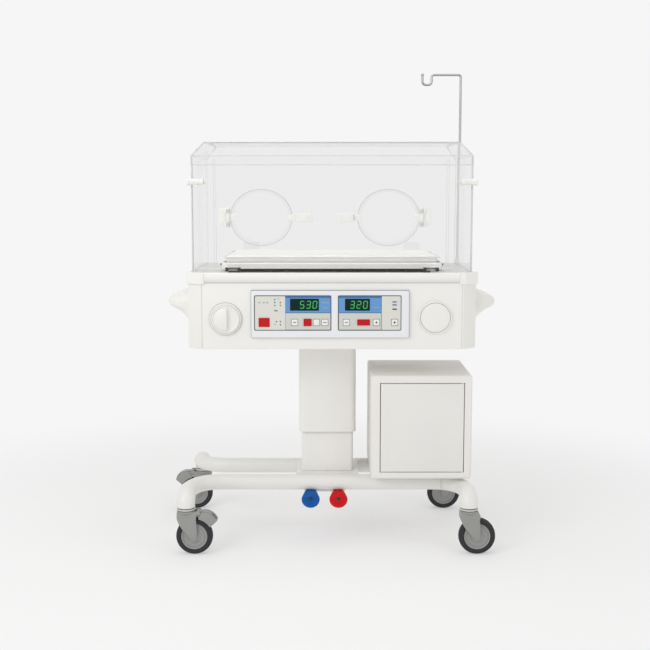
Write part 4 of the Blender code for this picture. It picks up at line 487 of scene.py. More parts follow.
def makeTube(node, side):
    radius, height, half, far, near = pick(tubeLook, "radius height halfTrack farY nearY")
    plan, drop, end, sag, swell, rim = pick(tubeLook, "planBend dropBend end sag swell rim")
    corners = [(-half, far, end), (-half, far, height), (-half, near, height)]
    corners += [(-x, y, z) for x, y, z in reversed(corners)]
    path = bentPath([(trolleyX + x, side * y, z) for x, y, z in corners], [drop, plan, plan, drop], 18)

    def nearEnd(place):
        # 0 along the straight part, 1 above the casters
        share = min(max((abs(place.y) - near) / (far - near), 0.0), 1.0)
        return share * share * (3 - 2 * share)

    for place in path[1:-1]:
        place.z -= sag * nearEnd(place) * min((place.z - end) / (height - end), 1.0)
    parts = [addPipe(path, radius, 14, lambda place: 1 + swell * nearEnd(place))]
    profile = [(radius - 0.004, end), (rim, end), (rim, end + 0.003), (rim - 0.002, end + 0.004)]
    for x in (-half, half):
        parts.append(roundOff(addTurn(profile, "Z", (trolleyX + x, side * far, 0), ring=True), 0.0005, 2))
    finishPiece(parts, node + "Skin", "trolley", "tubePaint", "paint", [node], smooth=40)


def makeElbowSeam():
    # the thin joint where the front tube's right elbow is fitted
    radius, bend, half, near, height = pick(tubeLook, "radius planBend halfTrack nearY height")
    turn = math.radians(tubeLook["seamTurn"])
    x = half - bend + bend * math.sin(turn)
    y = -near - bend * (1 - math.cos(turn))
    place = Matrix.Translation((trolleyX + x, y, height)) @ Matrix.Rotation(-turn, 4, "Z")
    parts = []
    for along in around(0, tubeLook["seamApart"]):
        span = around(along, tubeLook["seamWidth"] / 2)
        ring = addRod(radius + tubeLook["seamProud"], span, "X", steps=56, inner=radius - 0.001)
        parts.append(moved(ring, place))
    finishPiece(parts, "elbowSeam", "trolley", "seamGreyAndGapShade", "paint")


# column and lift

columnLook = {"corner": 0.012, "sleeveCorner": 0.021, "wall": 0.005, "lip": 0.006, "lipProud": 0.0008}


def columnShell(node, name, body, corner, lipHeight=0):
    low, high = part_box(node)
    grow = columnLook["lipProud"]
    parts = [hollowOut(addPlate(roundBox(low, high, 0, corner, 10), "Z", low.z, high.z))]
    if lipHeight:
        band = roundBox(low, high, grow, corner + grow, 10)
        parts.append(hollowOut(addPlate(band, "Z", low.z, low.z + lipHeight)))
    finishPiece(parts, name, body, "columnPaint", "paint", [node], wall=columnLook["wall"], edge=0.001)


def makeColumn():
    columnShell("lower_column", "lowerColumnSkin", "trolley", columnLook["corner"])
    columnShell("column_sleeve", "sleeveSkin", "upper", columnLook["sleeveCorner"], columnLook["lip"])


# foot pedals

pedalLook = {
    "pivot": (-0.06, 0.16), "reach": 0.11, "padRadius": 0.0318, "tilt": 45.0, "armHalf": 0.005,
    "boss": 0.009, "bossHalf": 0.017, "bore": 0.0046,
    "arm": mm((-16.8, 110), (-16.8, 30), (-14, 12), (14, 12), (16.8, 30), (16.8, 110)),
    "pad": mm((None, -6), (-4, -6), (-0.8, -3.5), (0, 0.5), (-0.8, 4), (-3, 6), (-6, 6.2), (-8.5, 5)),
    "dish": mm((9, 4.2), (7.5, 5.8), (5.5, 5.8), (4.2, 3), (0, 2.8)),
    "rib": mm((12.5, 3.5), (13.5, 5.2), (14.5, 3.5)),
    "ribStep": 0.0045,
    "neck": mm((-29, 5), (29, 5), (25.5, 20), (18, 33), (-18, 33), (-25.5, 20)),
    "bolt": mm((0, 5), (7.6, 5), (7.2, 6.4), (3.2, 7), (0, 5.6)),
}


def makePedal(node, name, body, finish, slot):
    low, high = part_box(node)
    look = pedalLook
    middle = (low.x + high.x) / 2
    backY, pivotZ = look["pivot"]
    padY = backY - look["reach"]
    arm = addPlate([(middle + x, padY + y) for x, y in look["arm"]], "Z", *around(pivotZ, look["armHalf"]))
    span = around(0, look["bossHalf"])
    boss = addRod(look["boss"], span, "X", (middle, backY, pivotZ), inner=look["bore"])
    parts = [roundOff(arm, 0.0018), roundOff(boss, 0.0008, 2)]
    tilt = Matrix.Rotation(math.radians(look["tilt"]), 4, "X")
    place = Matrix.Translation((middle, padY, pivotZ - 0.0025)) @ tilt
    tilted = [addTurn(profileAt(look["padRadius"], 0, look["pad"]) + look["dish"], "Z", steps=56)]
    # the pad's neck widens into the disc
    tilted.append(roundOff(addPlate(look["neck"], "Z", -0.0045, 0.005), 0.0016))
    for i in range(3):
        tilted.append(addTurn(profileAt(look["ribStep"] * i, 0, look["rib"]), "Z", ring=True))
    finishPiece(parts + [moved(part, place) for part in tilted], name, body, finish, slot, [node])
    finishPiece(moved(addTurn(look["bolt"], "Z", steps=32), place), name + "Bolt", body, "boltDark", slot)


# casters

casterLook = {
    "trail": 0.028, "axle": 0.0625, "legInner": 0.019, "legOuter": 0.024, "crown": 0.1492, "top": 0.1622,
    "brake": (0.042, 0.145), "boss": 0.0125, "arch": 0.0676, "ear": 0.0082, "axleRadius": 0.005,
    "treadTilt": 46.0, "beamRadius": 0.08, "cheekRadius": 0.0636, "treadRadius": 0.081,
    "legBack": mm((-30, 130), (-28.5, 121), (-21.5, 105), (-11, 88), (3, 73)),
    "legFront": mm((38.2, 85), (37, 106), (35.2, 121)),
    "collar": mm(
        (None, -6), (28.5, -6), (30.5, -3), (31, -1), (31, 1.2), (30, 2.2), (27.2, 2.4), (27.2, 13),
        (None, 13),
    ),
    "axleCap": mm((0, 0.6), (1.8, 0.7), (2.4, 1.4), (6.2, 1.3), (7.6, 0.4), (7.8, -1), (0, -1)),
    "hub": mm(
        (5.6, 18), (12, 18), (13, 17.4), (14.2, 13.6), (15.6, 13), (22.2, 13), (23, 13.8), (24, 13.8),
        (24.8, 12.8), (31.8, 12.6), (32.6, 13.4), (33.6, 13.4), (34.4, 12.2), (38.4, 11.8), (39.6, 14.2),
        (40.8, 14.8), (44, 14.8), (44.4, 14),
    ),
    "tyre": mm(
        (44.8, 14), (46, 15.2), (50, 15.8), (56, 15.8), (58.8, 14.6), (60.8, 11.8), (62, 8), (62.5, 4),
    ),
}


def casterPlace(sideX, sideY):
    # rear casters trail the other way
    turn = Matrix.Rotation(math.pi if sideY > 0 else 0.0, 4, "Z")
    return Matrix.Translation((trolleyX + sideX * tubeLook["halfTrack"], sideY * tubeLook["farY"], 0)) @ turn


def forkParts(braked):
    look = casterLook
    trail, axle, inner, outer, crown = pick(look, "trail axle legInner legOuter crown")
    side = [(-0.0295, crown)] + look["legBack"]
    side += arcOf((0.0255, axle), look["boss"], 200, 358, 18) + look["legFront"]
    if braked:
        # ears that hold the pin of the brake lever
        side += arcOf(look["brake"], look["ear"], 232, 446, 14) + [(0.034, crown + 0.003)]
    else:
        side += [(0.0375, 0.129), (0.0372, 0.137)]
    side.append((0.031, crown))
    arch = [(-0.0285, crown - 0.001), (-0.0288, 0.13)]
    arch += arcOf((trail, axle), look["arch"], 137, 96 if braked else 84, 10) + [(0.0285, crown - 0.001)]
    parts = [addPlate(arch, "Y", *around(0, inner + 0.0005))]
    parts.append(addTurn(profileAt(0, crown, look["collar"]), "Z", steps=64))
    parts.append(addRod(look["axleRadius"], (-outer, outer), "Y", (trail, 0, axle), 24))
    for end in bothSides:
        parts.append(roundOff(addPlate(side, "Y", *sorted((end * inner, end * outer))), 0.0016, 3, 24))
        profile = [(radius, end * (outer + along)) for radius, along in look["axleCap"]]
        parts.append(addTurn(profile, "Y", (trail, 0, axle), 32))
    return parts


def wheelParts(side, steps):
    profile = [(radius, -along) for radius, along in side] + list(reversed(side))
    return [addTurn(profile, "Y", (casterLook["trail"], 0, casterLook["axle"]), steps, ring=True)]


def brakeParts():
    # a fender over the wheel: a plate with two cheeks and a ribbed tread at its tip
    x, z = casterLook["brake"]
    wheel = (casterLook["trail"] - x, casterLook["axle"] - z)
    beamRadius, cheekRadius, treadRadius = pick(casterLook, "beamRadius cheekRadius treadRadius")
    upper = [(0.064, -0.027), (0.061, -0.0215)] + arcOf((0.015, -0.05), 0.054, 32, 72, 10)
    beam = arcOf((0, 0), 0.0075, 100, 200, 10) + [(-0.004, -0.015), (0.009, -0.0158), (0.015, -0.01)]
    beam += arcOf(wheel, beamRadius, 62, 36, 8) + upper
    cheek = arcOf((0, 0), 0.0094, 10, -70, 8) + [(0.0015, -0.0205)] + arcOf(wheel, cheekRadius, 74, 33, 10)
    cheek += [(0.043, -0.046)] + upper + [(0.016, 0.003)]
    tread = [(0.056, -0.033), (0.064, -0.027)] + upper[1:-4] + arcOf(wheel, treadRadius, 52, 38, 5)
    parts = []
    for outline, low, high, radius, segments in (
        (beam, -0.012, 0.012, 0.0014, 3), (cheek, -0.0222, -0.0176, 0.0012, 3),
        (cheek, 0.0176, 0.0222, 0.0012, 3), (tread, -0.02, 0.02, 0.001, 2),
    ):
        parts.append(roundOff(addPlate(outline, "Y", low, high), radius, segments, 26))
    slope = Matrix.Rotation(math.radians(casterLook["treadTilt"]), 4, "Y")
    for i in range(3):
        rib = addBlock((-0.0008, 0.0008), (-0.015, 0.015), (-0.0006, 0.0008), 0.0004)
        parts.append(moved(rib, Matrix.Translation((0.06 - 0.0055 * i, 0, -0.0182 + 0.00625 * i)) @ slope))
    return [moved(part, Matrix.Translation((x, 0, z))) for part in parts]


def makeCasters():
    for corner in ("front_left", "front_right", "rear_left", "rear_right"):
        row, hand = corner.split("_")
        braked = hand == "left"
        place = casterPlace(-1 if hand == "left" else 1, -1 if row == "front" else 1)
        label = row.capitalize() + hand.capitalize()
        jobs = [
            (forkParts(braked), "fork", "fork_", "greyNylon", "fork", "caster_fork_"),
            (wheelParts(casterLook["hub"], 72), "hub", "wheel_", "hubNylon", "hub", "wheel_hub_"),
            (wheelParts(casterLook["tyre"], 96), "tyre", "wheel_", "tyreRubber", "tyre", "wheel_tyre_"),
        ]
        if braked:
            jobs.append((brakeParts(), "brake", "brake_", "greyNylon", "fork", "brake_pedal_"))
        for parts, name, body, finish, slot, node in jobs:
            parts = [moved(part, place) for part in parts]
            finishPiece(parts, name + label, body + corner, finish, slot, [node + corner])
        # round each collar: a dark ring painted as the shade of a groove and a light ring painted as a
        # highlight band
        low = casterLook["crown"] + 0.0022
        for name, radius, span in (
            ("GrooveShade", 0.0286, (low, casterLook["top"] - 0.0004)),
            ("RingHighlight", 0.0312, (low + 0.0026, low + 0.0074)),
        ):
            ring = moved(roundOff(addRod(radius, span, "Z", steps=64, inner=0.024), 0.0007, 2, 40), place)
            finishPiece(ring, "collar" + name + label, "fork_" + corner, "collar" + name, "fork")


# cabinet

cabinetLook = {
    "edge": 0.008, "frame": 0.026, "shiftX": 0.005, "shiftZ": 0.003, "lipDepth": 0.022, "wall": 0.015,
    "doorGap": 0.01, "doorEdge": 0.0016, "doorFrame": 0.019, "doorHollow": 0.0118, "pin": 0.003,
    "pinIn": 0.005,
}


def makeCabinet():
    look = cabinetLook
    shiftX, shiftZ, gap = pick(look, "shiftX shiftZ doorGap")
    low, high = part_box("cabinet_shell")
    middle = (low + high) / 2
    shell = addBlock(*zip(low, high), look["edge"], 5)
    front, = facing(shell, (0, -1, 0))
    pushIn(shell, front, look["frame"] - look["edge"])
    for vert in front.verts:
        vert.co.x += shiftX if vert.co.x < middle.x else 0
        vert.co.z -= shiftZ if vert.co.z < middle.z else 0
    pushIn(shell, front, 0.0001, -look["lipDepth"])
    pushIn(shell, front, 0.0001)
    widen = look["frame"] - look["wall"]
    for vert in front.verts:
        vert.co.x += widen if vert.co.x > middle.x else -widen
        vert.co.z += widen if vert.co.z > middle.z else -widen
    pushIn(shell, front, 0.0001, -(high.y - low.y - look["lipDepth"] - look["wall"]))

    def atMouth(edge):
        middle = (edge.verts[0].co + edge.verts[1].co) / 2
        inX = low.x + 0.02 < middle.x < high.x - 0.02
        return middle.y < low.y + 0.002 and inX and low.z + 0.02 < middle.z < high.z - 0.02

    roundOff(shell, 0.0012, 2, 40, atMouth)
    finishPiece(shell, "cabinetSkin", "trolley", "cabinetCoat", "cabinet", ["cabinet_shell"])

    doorLow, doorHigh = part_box("cabinet_door")
    bottom, top = doorLow.z + gap - shiftZ, doorHigh.z - gap
    spanX, spanY = (doorLow.x + shiftX, doorHigh.x), (doorLow.y, doorHigh.y)
    door = addBlock(spanX, spanY, (bottom, top), look["doorEdge"], 3)
    back, = facing(door, (0, 1, 0))
    pushIn(door, back, look["doorFrame"])
    pushIn(door, back, 0.0002, -look["doorHollow"])
    parts = [door]
    axis = (doorHigh.x - look["pinIn"], doorLow.y + look["pinIn"], 0)
    for span in ((doorLow.z, bottom + 0.004), (top - 0.004, doorHigh.z)):
        parts.append(addRod(look["pin"], span, "Z", axis, 24))
    finishPiece(parts, "doorSkin", "door", "doorCoat", "cabinet", ["cabinet_door"])


# tub, deck and handles

tubLook = {
    "cutX": 0.044, "cutY": 0.03, "wall": 0.005, "edge": 0.004, "postProud": 0.0009, "postLap": 0.0035,
    "rimThick": 0.0006, "rimInset": 0.012, "rimProud": 0.0035, "capProud": 0.0032, "capLength": 0.062,
    "capDepth": 0.05,
}


def cutCorners(grow=0.0):
    # the tub's outline, its corners cut, grown on every side
    cutX, cutY = pick(tubLook, "cutX cutY")
    left, right = tubLow.x - grow, tubHigh.x + grow
    front, back = tubLow.y - grow, tubHigh.y + grow
    return [
        (right, front + cutY), (right, back - cutY), (right - cutX, back), (left + cutX, back),
        (left, back - cutY), (left, front + cutY), (left + cutX, front), (right - cutX, front),
    ]


def cornerPlates(outline, low, high, radius, segments):
    # the same plate at the four corners, measured from the tub's middle
    parts = []
    for sideX, sideY in fourCorners:
        plate = addPlate([(bodyX + sideX * x, sideY * y) for x, y in outline], "Z", low, high)
        parts.append(roundOff(plate, radius, segments, 20))
    return parts


def makeTub():
    cutX, cutY, wall, edge, proud, lap = pick(tubLook, "cutX cutY wall edge postProud postLap")
    tub = addPlate(cutCorners(), "Z", tubLow.z, tubHigh.z)
    bmesh.ops.delete(tub, geom=facing(tub, (0, 0, 1)), context="FACES_ONLY")
    roundOff(tub, edge, 4, 20)
    finishPiece(tub, "tubSkin", "upper", "tubShell", "shell", ["tub"], wall=wall, edge=0.0006)
    x, y, _ = (tubHigh - tubLow) / 2
    outline = [
        (x - cutX - lap, y + proud), (x - cutX + 0.001, y + proud), (x + proud, y - cutY + 0.001),
        (x + proud, y - cutY - lap), (x - 0.002, y - cutY - lap), (x - cutX - lap, y - 0.002),
    ]
    posts = cornerPlates(outline, tubLow.z + 0.005, tubHigh.z - 0.0006, 0.0008, 3)
    finishPiece(posts, "cornerPosts", "upper", "gripShell", "shell")
    # thin grey strips at the posts' inner edges: painted shadow lines where the posts meet the tub's front
    postShadows = []
    for sideX, sideY in fourCorners:
        place = bodyX + sideX * (x - cutX - lap - 0.0005)
        span = (tubLow.z + 0.006, tubHigh.z - 0.002)
        postShadows.append(addBlock(around(place, 0.0006), around(sideY * y, 0.0005), span, 0.0002, 1))
    finishPiece(postShadows, "postShadowLines", "upper", "seamGreyAndGapShade", "shell")


def makeRim():
    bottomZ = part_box("deck")[0].z
    cutX, cutY, thick, inset, proud = pick(tubLook, "cutX cutY rimThick rimInset rimProud")
    capProud, length, depth = pick(tubLook, "capProud capLength capDepth")
    band = addPlate(cutCorners(proud + thick), "Z", bottomZ, deckTop + thick)
    top, bottom = facing(band, (0, 0, 1), (0, 0, -1))
    pushIn(band, top, inset)
    bmesh.ops.delete(band, geom=[bottom, top], context="FACES_ONLY")
    finishPiece(roundOff(band, 0.0028, 3, 20), "rimSkin", "upper", "rimShell", "shell", wall=thick)

    # a thin grey band where the rim meets the tub: painted shadow under the rim's overhang
    rimShadow = hollowOut(addPlate(cutCorners(0.0012), "Z", tubHigh.z - 0.0014, bottomZ + 0.0002))
    finishPiece(rimShadow, "rimJointShadow", "upper", "seamGreyAndGapShade", "shell", wall=0.001)

    # rounded caps on the rim's four corners, with a soft upper edge
    x = (tubHigh.x - tubLow.x) / 2 + proud + capProud
    y = (tubHigh.y - tubLow.y) / 2 + proud + capProud
    outline = [
        (x - length, y), (x - cutX, y), (x, y - cutY), (x, y - depth), (x - 0.016, y - depth - 0.006),
        (x - 0.018, y - 0.034), (x - 0.046, y - 0.016), (x - length - 0.007, y - 0.014),
    ]
    caps = cornerPlates(outline, bottomZ - 0.006, deckTop + 0.0016, 0.0022, 4)
    finishPiece(caps, "rimCaps", "upper", "capShell", "shell", smooth=20)


handleLook = {
    "outline": [
        (0.0, 1.0), (0.16, 0.975), (0.42, 0.905), (0.74, 0.815), (0.98, 0.75), (1.06, 0.68), (1.06, 0.54),
        (0.99, 0.46), (0.74, 0.375), (0.5, 0.265), (0.32, 0.135), (0.17, -0.01), (0.06, -0.08), (0.0, -0.085),
    ],
    "stations": [(0.0, 0.26), (0.02, 0.5), (0.06, 0.74), (0.13, 0.9), (0.24, 0.98), (0.38, 1.0), (0.5, 1.0)],
}


def makeHandle(node, name, side):
    low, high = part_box(node)
    middle = (low + high) / 2
    reach, length, height = high - low
    root = high.x if side < 0 else low.x
    stations = [(share - 0.5, size) for share, size in handleLook["stations"]]
    stations += [(-share, size) for share, size in reversed(stations[:-1])]
    size = stations[0][1]
    part = bmesh.new()
    ring = []
    for out, up in handleLook["outline"]:
        z = middle.z + (up - 0.5) * height * (1 + size) / 2
        ring.append(part.verts.new((root + side * out * size * reach, low.y, z)))
    start = face = part.faces.new(ring)
    for share, following in stations[1:]:
        # the end face is drawn out to the next station and drawn larger or smaller there
        made = bmesh.ops.extrude_face_region(part, geom=[face], use_keep_orig=True)
        if face != start:
            bmesh.ops.delete(part, geom=[face], context="FACES_ONLY")
        face, = [item for item in made["geom"] if isinstance(item, bmesh.types.BMFace)]
        for vert in face.verts:
            vert.co.x = root + (vert.co.x - root) * following / size
            vert.co.y = middle.y + share * length
            vert.co.z = middle.z + (vert.co.z - middle.z) * (1 + following) / (1 + size)
        size = following
    bmesh.ops.recalc_face_normals(part, faces=part.faces)
    piece = finishPiece(part, name, "upper", "gripShell", "shell", [node], smooth=70)
    smoother = piece.modifiers.new("smooth", "SUBSURF")
    smoother.levels = smoother.render_levels = 2


# control panel, in places measured from the tub's middle

panelLook = {
    "moduleLow": 0.764, "moduleHigh": 0.8815, "split": 0.8231, "left": (-0.2593, -0.0024),
    "right": (0.0201, 0.231),
    "leftZone": -0.1561, "rightZone": 0.1649, "keyZ": 0.7912, "digitHeight": 0.0235,
    "keys": (-0.1248, -0.052, -0.024, 0.048, 0.1481, 0.2088),
    "lamps": (
        (-0.1905, 0.87), (-0.1905, 0.86), (-0.1905, 0.85), (-0.172, 0.86), (-0.172, 0.85),
        (-0.185, 0.796), (-0.172, 0.796), (-0.172, 0.785),
    ),
    # marks as left, bottom, right, top and corner
    "darkMarks": (
        (-0.13, 0.7902, -0.1196, 0.7924, 0.0004), (-0.0292, 0.7902, -0.0188, 0.7924, 0.0004),
        (0.0428, 0.7902, 0.0532, 0.7924, 0.0004),
    ),
    "darkBars": ((-0.1925, 0.829, -0.1815, 0.8318, 0.0006), (0.201, 0.8335, 0.2156, 0.8378, 0.0008)),
    "softMarks": (
        (-0.246, 0.856, -0.239, 0.859, 0.0006), (-0.231, 0.856, -0.224, 0.859, 0.0006),
        (-0.219, 0.856, -0.212, 0.859, 0.0006), (-0.1815, 0.869, -0.1745, 0.871, 0.0004),
        (-0.194, 0.784, -0.187, 0.786, 0.0004), (-0.035, 0.856, -0.01, 0.859, 0.0006),
        (-0.033, 0.839, -0.013, 0.8415, 0.0006), (0.133, 0.84, 0.156, 0.8425, 0.0006),
    ),
    "blueMarks": ((0.201, 0.858, 0.2156, 0.862, 0.0008), (0.201, 0.848, 0.2156, 0.852, 0.0008)),
}


def makeBezel():
    low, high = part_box("control_bezel")
    slack = 0.0003
    columns = [low.x]
    for start, end in pick(panelLook, "left right"):
        columns += [bodyX + start - slack, bodyX + end + slack]
    columns.append(high.x)
    rows = [low.z, panelLook["moduleLow"] - slack, panelLook["moduleHigh"] + slack, high.z]
    part = bmesh.new()
    bmesh.ops.create_grid(part, x_segments=5, y_segments=3, size=0.5)
    for vert in part.verts:
        vert.co = (columns[round((vert.co.x + 0.5) * 5)], low.y, rows[round((vert.co.y + 0.5) * 3)])
    windows = []
    for face in part.faces:
        middle = face.calc_center_median()
        inColumn = columns[1] < middle.x < columns[2] or columns[3] < middle.x < columns[4]
        if rows[1] < middle.z < rows[2] and inColumn:
            windows.append(face)
    bmesh.ops.delete(part, geom=windows, context="FACES")
    pushFaces(part, part.faces, (0, high.y - low.y, 0))

    def cornerEdge(edge):
        first, second = edge.verts
        atX = min(abs(first.co.x - low.x), abs(first.co.x - high.x)) < 0.0001
        atZ = min(abs(first.co.z - low.z), abs(first.co.z - high.z)) < 0.0001
        return abs(first.co.y - second.co.y) > 0.005 and atX and atZ

    def frontEdge(edge):
        return all(abs(vert.co.y - low.y) < 0.0001 for vert in edge.verts)

    roundOff(part, 0.0035, 5, 40, cornerEdge)
    roundOff(part, 0.0016, 3, 40, frontEdge)
    finishPiece(part, "bezelSkin", "upper", "bezelShell", "bezel", ["control_bezel"])
    outer = roundBox(low, high, 0.0017, 0.004, 6, "z")
    rim = addHoledPlate(outer, [roundBox(low, high, -0.003, 0.003, 6, "z")], high.y - 0.0026, high.y)
    finishPiece(roundOff(rim, 0.0003, 1, 60), "bezelGasket", "upper", "outlineGrey", "bezel")


def patch(left, bottom, right, top, level, thick, radius=0.0012):
    # a thin plate on the panel, its corners round; level is where its front lies
    return addPlate(roundRect(bodyX + left, bottom, bodyX + right, top, radius, 4), "Y", level, level + thick)


def framePatch(left, bottom, right, top, level):
    # four thin bars round a rectangle
    width = 0.0007
    bars = [(left, bottom, right, bottom + width), (left, top - width, right, top)]
    bars += [(left, bottom, left + width, top), (right - width, bottom, right, top)]
    return [patch(*bar, level, 0.0006, width * 0.4) for bar in bars]


segmentShapes = {"0": "abcdef", "2": "abdeg", "3": "abcdg", "5": "acdfg"}
# shares of a digit's height, and for tip and shoulder of a bar's thickness
digitLook = {"side": 0.26, "thick": 0.115, "slant": 0.1, "shoulder": 0.58, "tip": 0.12}


def digitParts(value, centreX, centreZ, height, level, on):
    # seven slanted bars, those of the value or the rest
    side, thick, half = height * digitLook["side"], height * digitLook["thick"], height / 2
    slant, shoulder, tip = pick(digitLook, "slant shoulder tip")
    bars = {
        "a": ((-side, half), (side, half)), "b": ((side, half), (side, 0)), "c": ((side, 0), (side, -half)),
        "d": ((-side, -half), (side, -half)), "e": ((-side, 0), (-side, -half)),
        "f": ((-side, half), (-side, 0)),
        "g": ((-side, 0), (side, 0)),
    }
    parts = []
    for letter, ends in bars.items():
        if (letter in segmentShapes[value]) != on:
            continue
        start, end = (Vector((x + z * slant, z)) for x, z in ends)
        run = (end - start).normalized()
        across = Vector((-run.y, run.x)) * thick / 2
        near, far = start + run * thick * shoulder, end - run * thick * shoulder
        outline = [start + run * thick * tip, near + across, far + across]
        outline += [end - run * thick * tip, far - across, near - across]
        parts.append(addPlate([(centreX + x, centreZ + z) for x, z in outline], "Y", level, level + 0.0002))
    return parts


def makeModules():
    look = panelLook
    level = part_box("right_display")[0].y  # the modules' front face
    bottom, top, split = pick(look, "moduleLow moduleHigh split")
    leftZone, rightZone, keyZ = pick(look, "leftZone rightZone keyZ")
    leftEnd, rightStart = look["left"][1], look["right"][0]
    openings = {"left": [], "right": []}
    for node, side in (("power_switch", "left"), ("red_key_left", "left"), ("red_key_right", "right")):
        low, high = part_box(node)
        openings[side].append(roundBox(low, high, 0.0007, 0.0018, 4, "z"))
    faces = []
    rims = []
    for side in ("left", "right"):
        start, end = (bodyX + edge for edge in look[side])
        outer = roundRect(start, bottom, end, top, 0.0068, 6)
        faces.append(addHoledPlate(outer, openings[side], *around(level, 0.0002)))
        outer = roundRect(start - 0.0003, bottom - 0.0003, end + 0.0003, top + 0.0003, 0.007, 6)
        inner = roundRect(start + 0.0021, bottom + 0.0021, end - 0.0021, top - 0.0021, 0.005, 6)
        rims.append(addHoledPlate(outer, [inner], level - 0.0007, level + 0.0002))
    finishPiece(faces, "moduleFaces", "upper", "moduleFace", "module", smooth=0)
    rims.append(patch(rightZone - 0.0006, bottom, rightZone + 0.0006, top, level - 0.0005, 0.0006, 0.0003))
    rims += framePatch(leftZone, bottom + 0.002, leftEnd - 0.002, split, level - 0.0005)
    rims += framePatch(rightStart + 0.002, bottom + 0.002, rightZone, split, level - 0.0005)
    finishPiece(rims, "moduleOutlines", "upper", "darkLine", "module")

    zones = [(leftZone, leftEnd - 0.0014), (rightStart + 0.0014, rightZone - 0.0006)]
    blues = [patch(a, split, b, top - 0.0014, level - 0.0004, 0.0005, 0.0008) for a, b in zones]
    finishPiece(blues, "blueZones", "upper", "blueZone", "module")
    bands = [patch(a, top - 0.0085, b, top - 0.0016, level - 0.0006, 0.0004, 0.0006) for a, b in zones]
    bands += [patch(a, split, b, split + 0.0014, level - 0.0006, 0.0004, 0.0004) for a, b in zones]
    finishPiece(bands, "blueBands", "upper", "blueBand", "module")
    greys = []
    for start, end, opening in (
        (leftZone + 0.0007, leftEnd - 0.0028, openings["left"][1]),
        (rightStart + 0.0028, rightZone - 0.0008, openings["right"][0]),
    ):
        outer = roundRect(bodyX + start, bottom + 0.0028, bodyX + end, split - 0.0008, 0.001, 4)
        greys.append(addHoledPlate(outer, [opening], level - 0.00035, level + 0.00005))
    finishPiece(greys, "keyZones", "upper", "keyZone", "module", smooth=0)

    # membrane keys: a grey frame, a white pad and a small mark
    def keyPatch(x, half, front, thick, radius):
        return patch(x - half, keyZ - half, x + half, keyZ + half, level - front, thick, radius)

    frames = [keyPatch(x, 0.0118, 0.0007, 0.0006, 0.0016) for x in look["keys"]]
    pads = [roundOff(keyPatch(x, 0.01, 0.0013, 0.0008, 0.0014), 0.0003, 2) for x in look["keys"]]
    finishPiece(frames, "keyFrames", "upper", "keyFrame", "module")
    finishPiece(pads, "keyPads", "upper", "keyPad", "module")

    mark = level - 0.0015
    lamp = level - 0.0008
    arrowX, dotX = look["keys"][-2:]
    arrow = [(arrowX - 0.004, keyZ - 0.0028), (arrowX + 0.004, keyZ - 0.0028), (arrowX, keyZ + 0.0046)]
    marks = [patch(*place, mark, 0.0004, radius) for *place, radius in look["darkMarks"]]
    marks.append(addPlate([(bodyX + x, z) for x, z in arrow], "Y", mark, mark + 0.0004))
    marks.append(addRod(0.0034, (mark, mark + 0.0004), "Y", (bodyX + dotX, 0, keyZ), 24))
    # rows of small lamps on the left module
    profile = [(0, lamp), (0.0019, lamp), (0.0022, lamp + 0.0006), (0, lamp + 0.0006)]
    for x, height in look["lamps"]:
        marks.append(addTurn(profile, "Y", (bodyX + x, 0, height - 0.002), 20))
    marks += [patch(*place, lamp, 0.0006, radius) for *place, radius in look["darkBars"]]
    finishPiece(marks, "panelMarks", "upper", "darkMark", "module")
    for kind, name, finish in (
        ("softMarks", "panelSoftMarks", "greyMark"), ("blueMarks", "panelBars", "markBlue"),
    ):
        marks = [patch(*place, lamp, 0.0006, radius) for *place, radius in look[kind]]
        finishPiece(marks, name, "upper", finish, "module")

    # displays: bevelled lens, unlit bars and lit digits
    for node, name, digits in (
        ("left_display", "leftLens", (("5", 0.42), ("3", 0.64), ("0", 0.86))),
        ("right_display", "rightLens", (("3", 0.3), ("2", 0.56), ("0", 0.82))),
    ):
        low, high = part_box(node)
        lens = addPlate(roundBox(low, high, 0, 0.002, 5, "z"), "Y", level - 0.001, high.y)
        finishPiece(roundOff(lens, 0.0004, 2, 40), name, "upper", "lensGreen", "display", [node])
        z = (low.z + high.z) / 2
        for label, finish, front, on in (
            ("Digits", "digitGreen", 0.0013, True), ("Unlit", "digitOff", 0.0012, False),
        ):
            bars = []
            for value, share in digits:
                x = low.x + (high.x - low.x) * share
                bars += digitParts(value, x, z, look["digitHeight"], level - front, on)
            finishPiece(bars, name + label, "upper", finish, "display")


def makeRedKeys():
    for node, name, body, ribs in (
        ("power_switch", "powerRocker", "power", 0), ("red_key_left", "leftRedKey", "left_key", 0),
        ("red_key_right", "rightRedKey", "right_key", 2),
    ):
        low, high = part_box(node)
        parts = [addBlock(*zip(low, high), 0.0016, 4)]
        front, = facing(parts[0], (0, -1, 0))
        pushIn(parts[0], front, 0.0018)
        pushIn(parts[0], front, 0.0008, -0.0007)
        for i in range(ribs):
            x = low.x + (high.x - low.x) * (0.38 + 0.24 * i)
            spanY, spanZ = (low.y - 0.0001, low.y + 0.002), (low.z + 0.003, high.z - 0.003)
            parts.append(addBlock(around(x, 0.0012), spanY, spanZ, 0.0006))
        finishPiece(parts, name, body, "redKey", "red", [node])


# tilt knob and filter cap; their profiles are measured from a radius and the tub's front

knobLook = {
    "x": -0.3562, "z": 0.8012, "radius": 0.054, "grip": 0.0425, "gripEnd": 0.0055, "domeTop": -0.023,
    "disc": mm((None, -10), (-4, -9.8), (-1.5, -10.4), (0, -11.6), (2.2, -12.1), (4.4, -11.6)),
    "discEdge": mm((-4.5, -8.6), (-3, -8), (-0.8, -7.4), (0, -6), (0, 0), (None, 0)),
    "dome": mm((None, -8), (-3.5, -8), (-3.5, -14), (-6, -16.8)),
    "surround": mm((0.4, -1.2), (2.2, -0.8), (2.2, 0.3), (0.4, 0.3)),
    "line": mm((5.2, -11.8), (6.4, -11.4), (6.4, -8.5), (5.2, -8.5)),
}


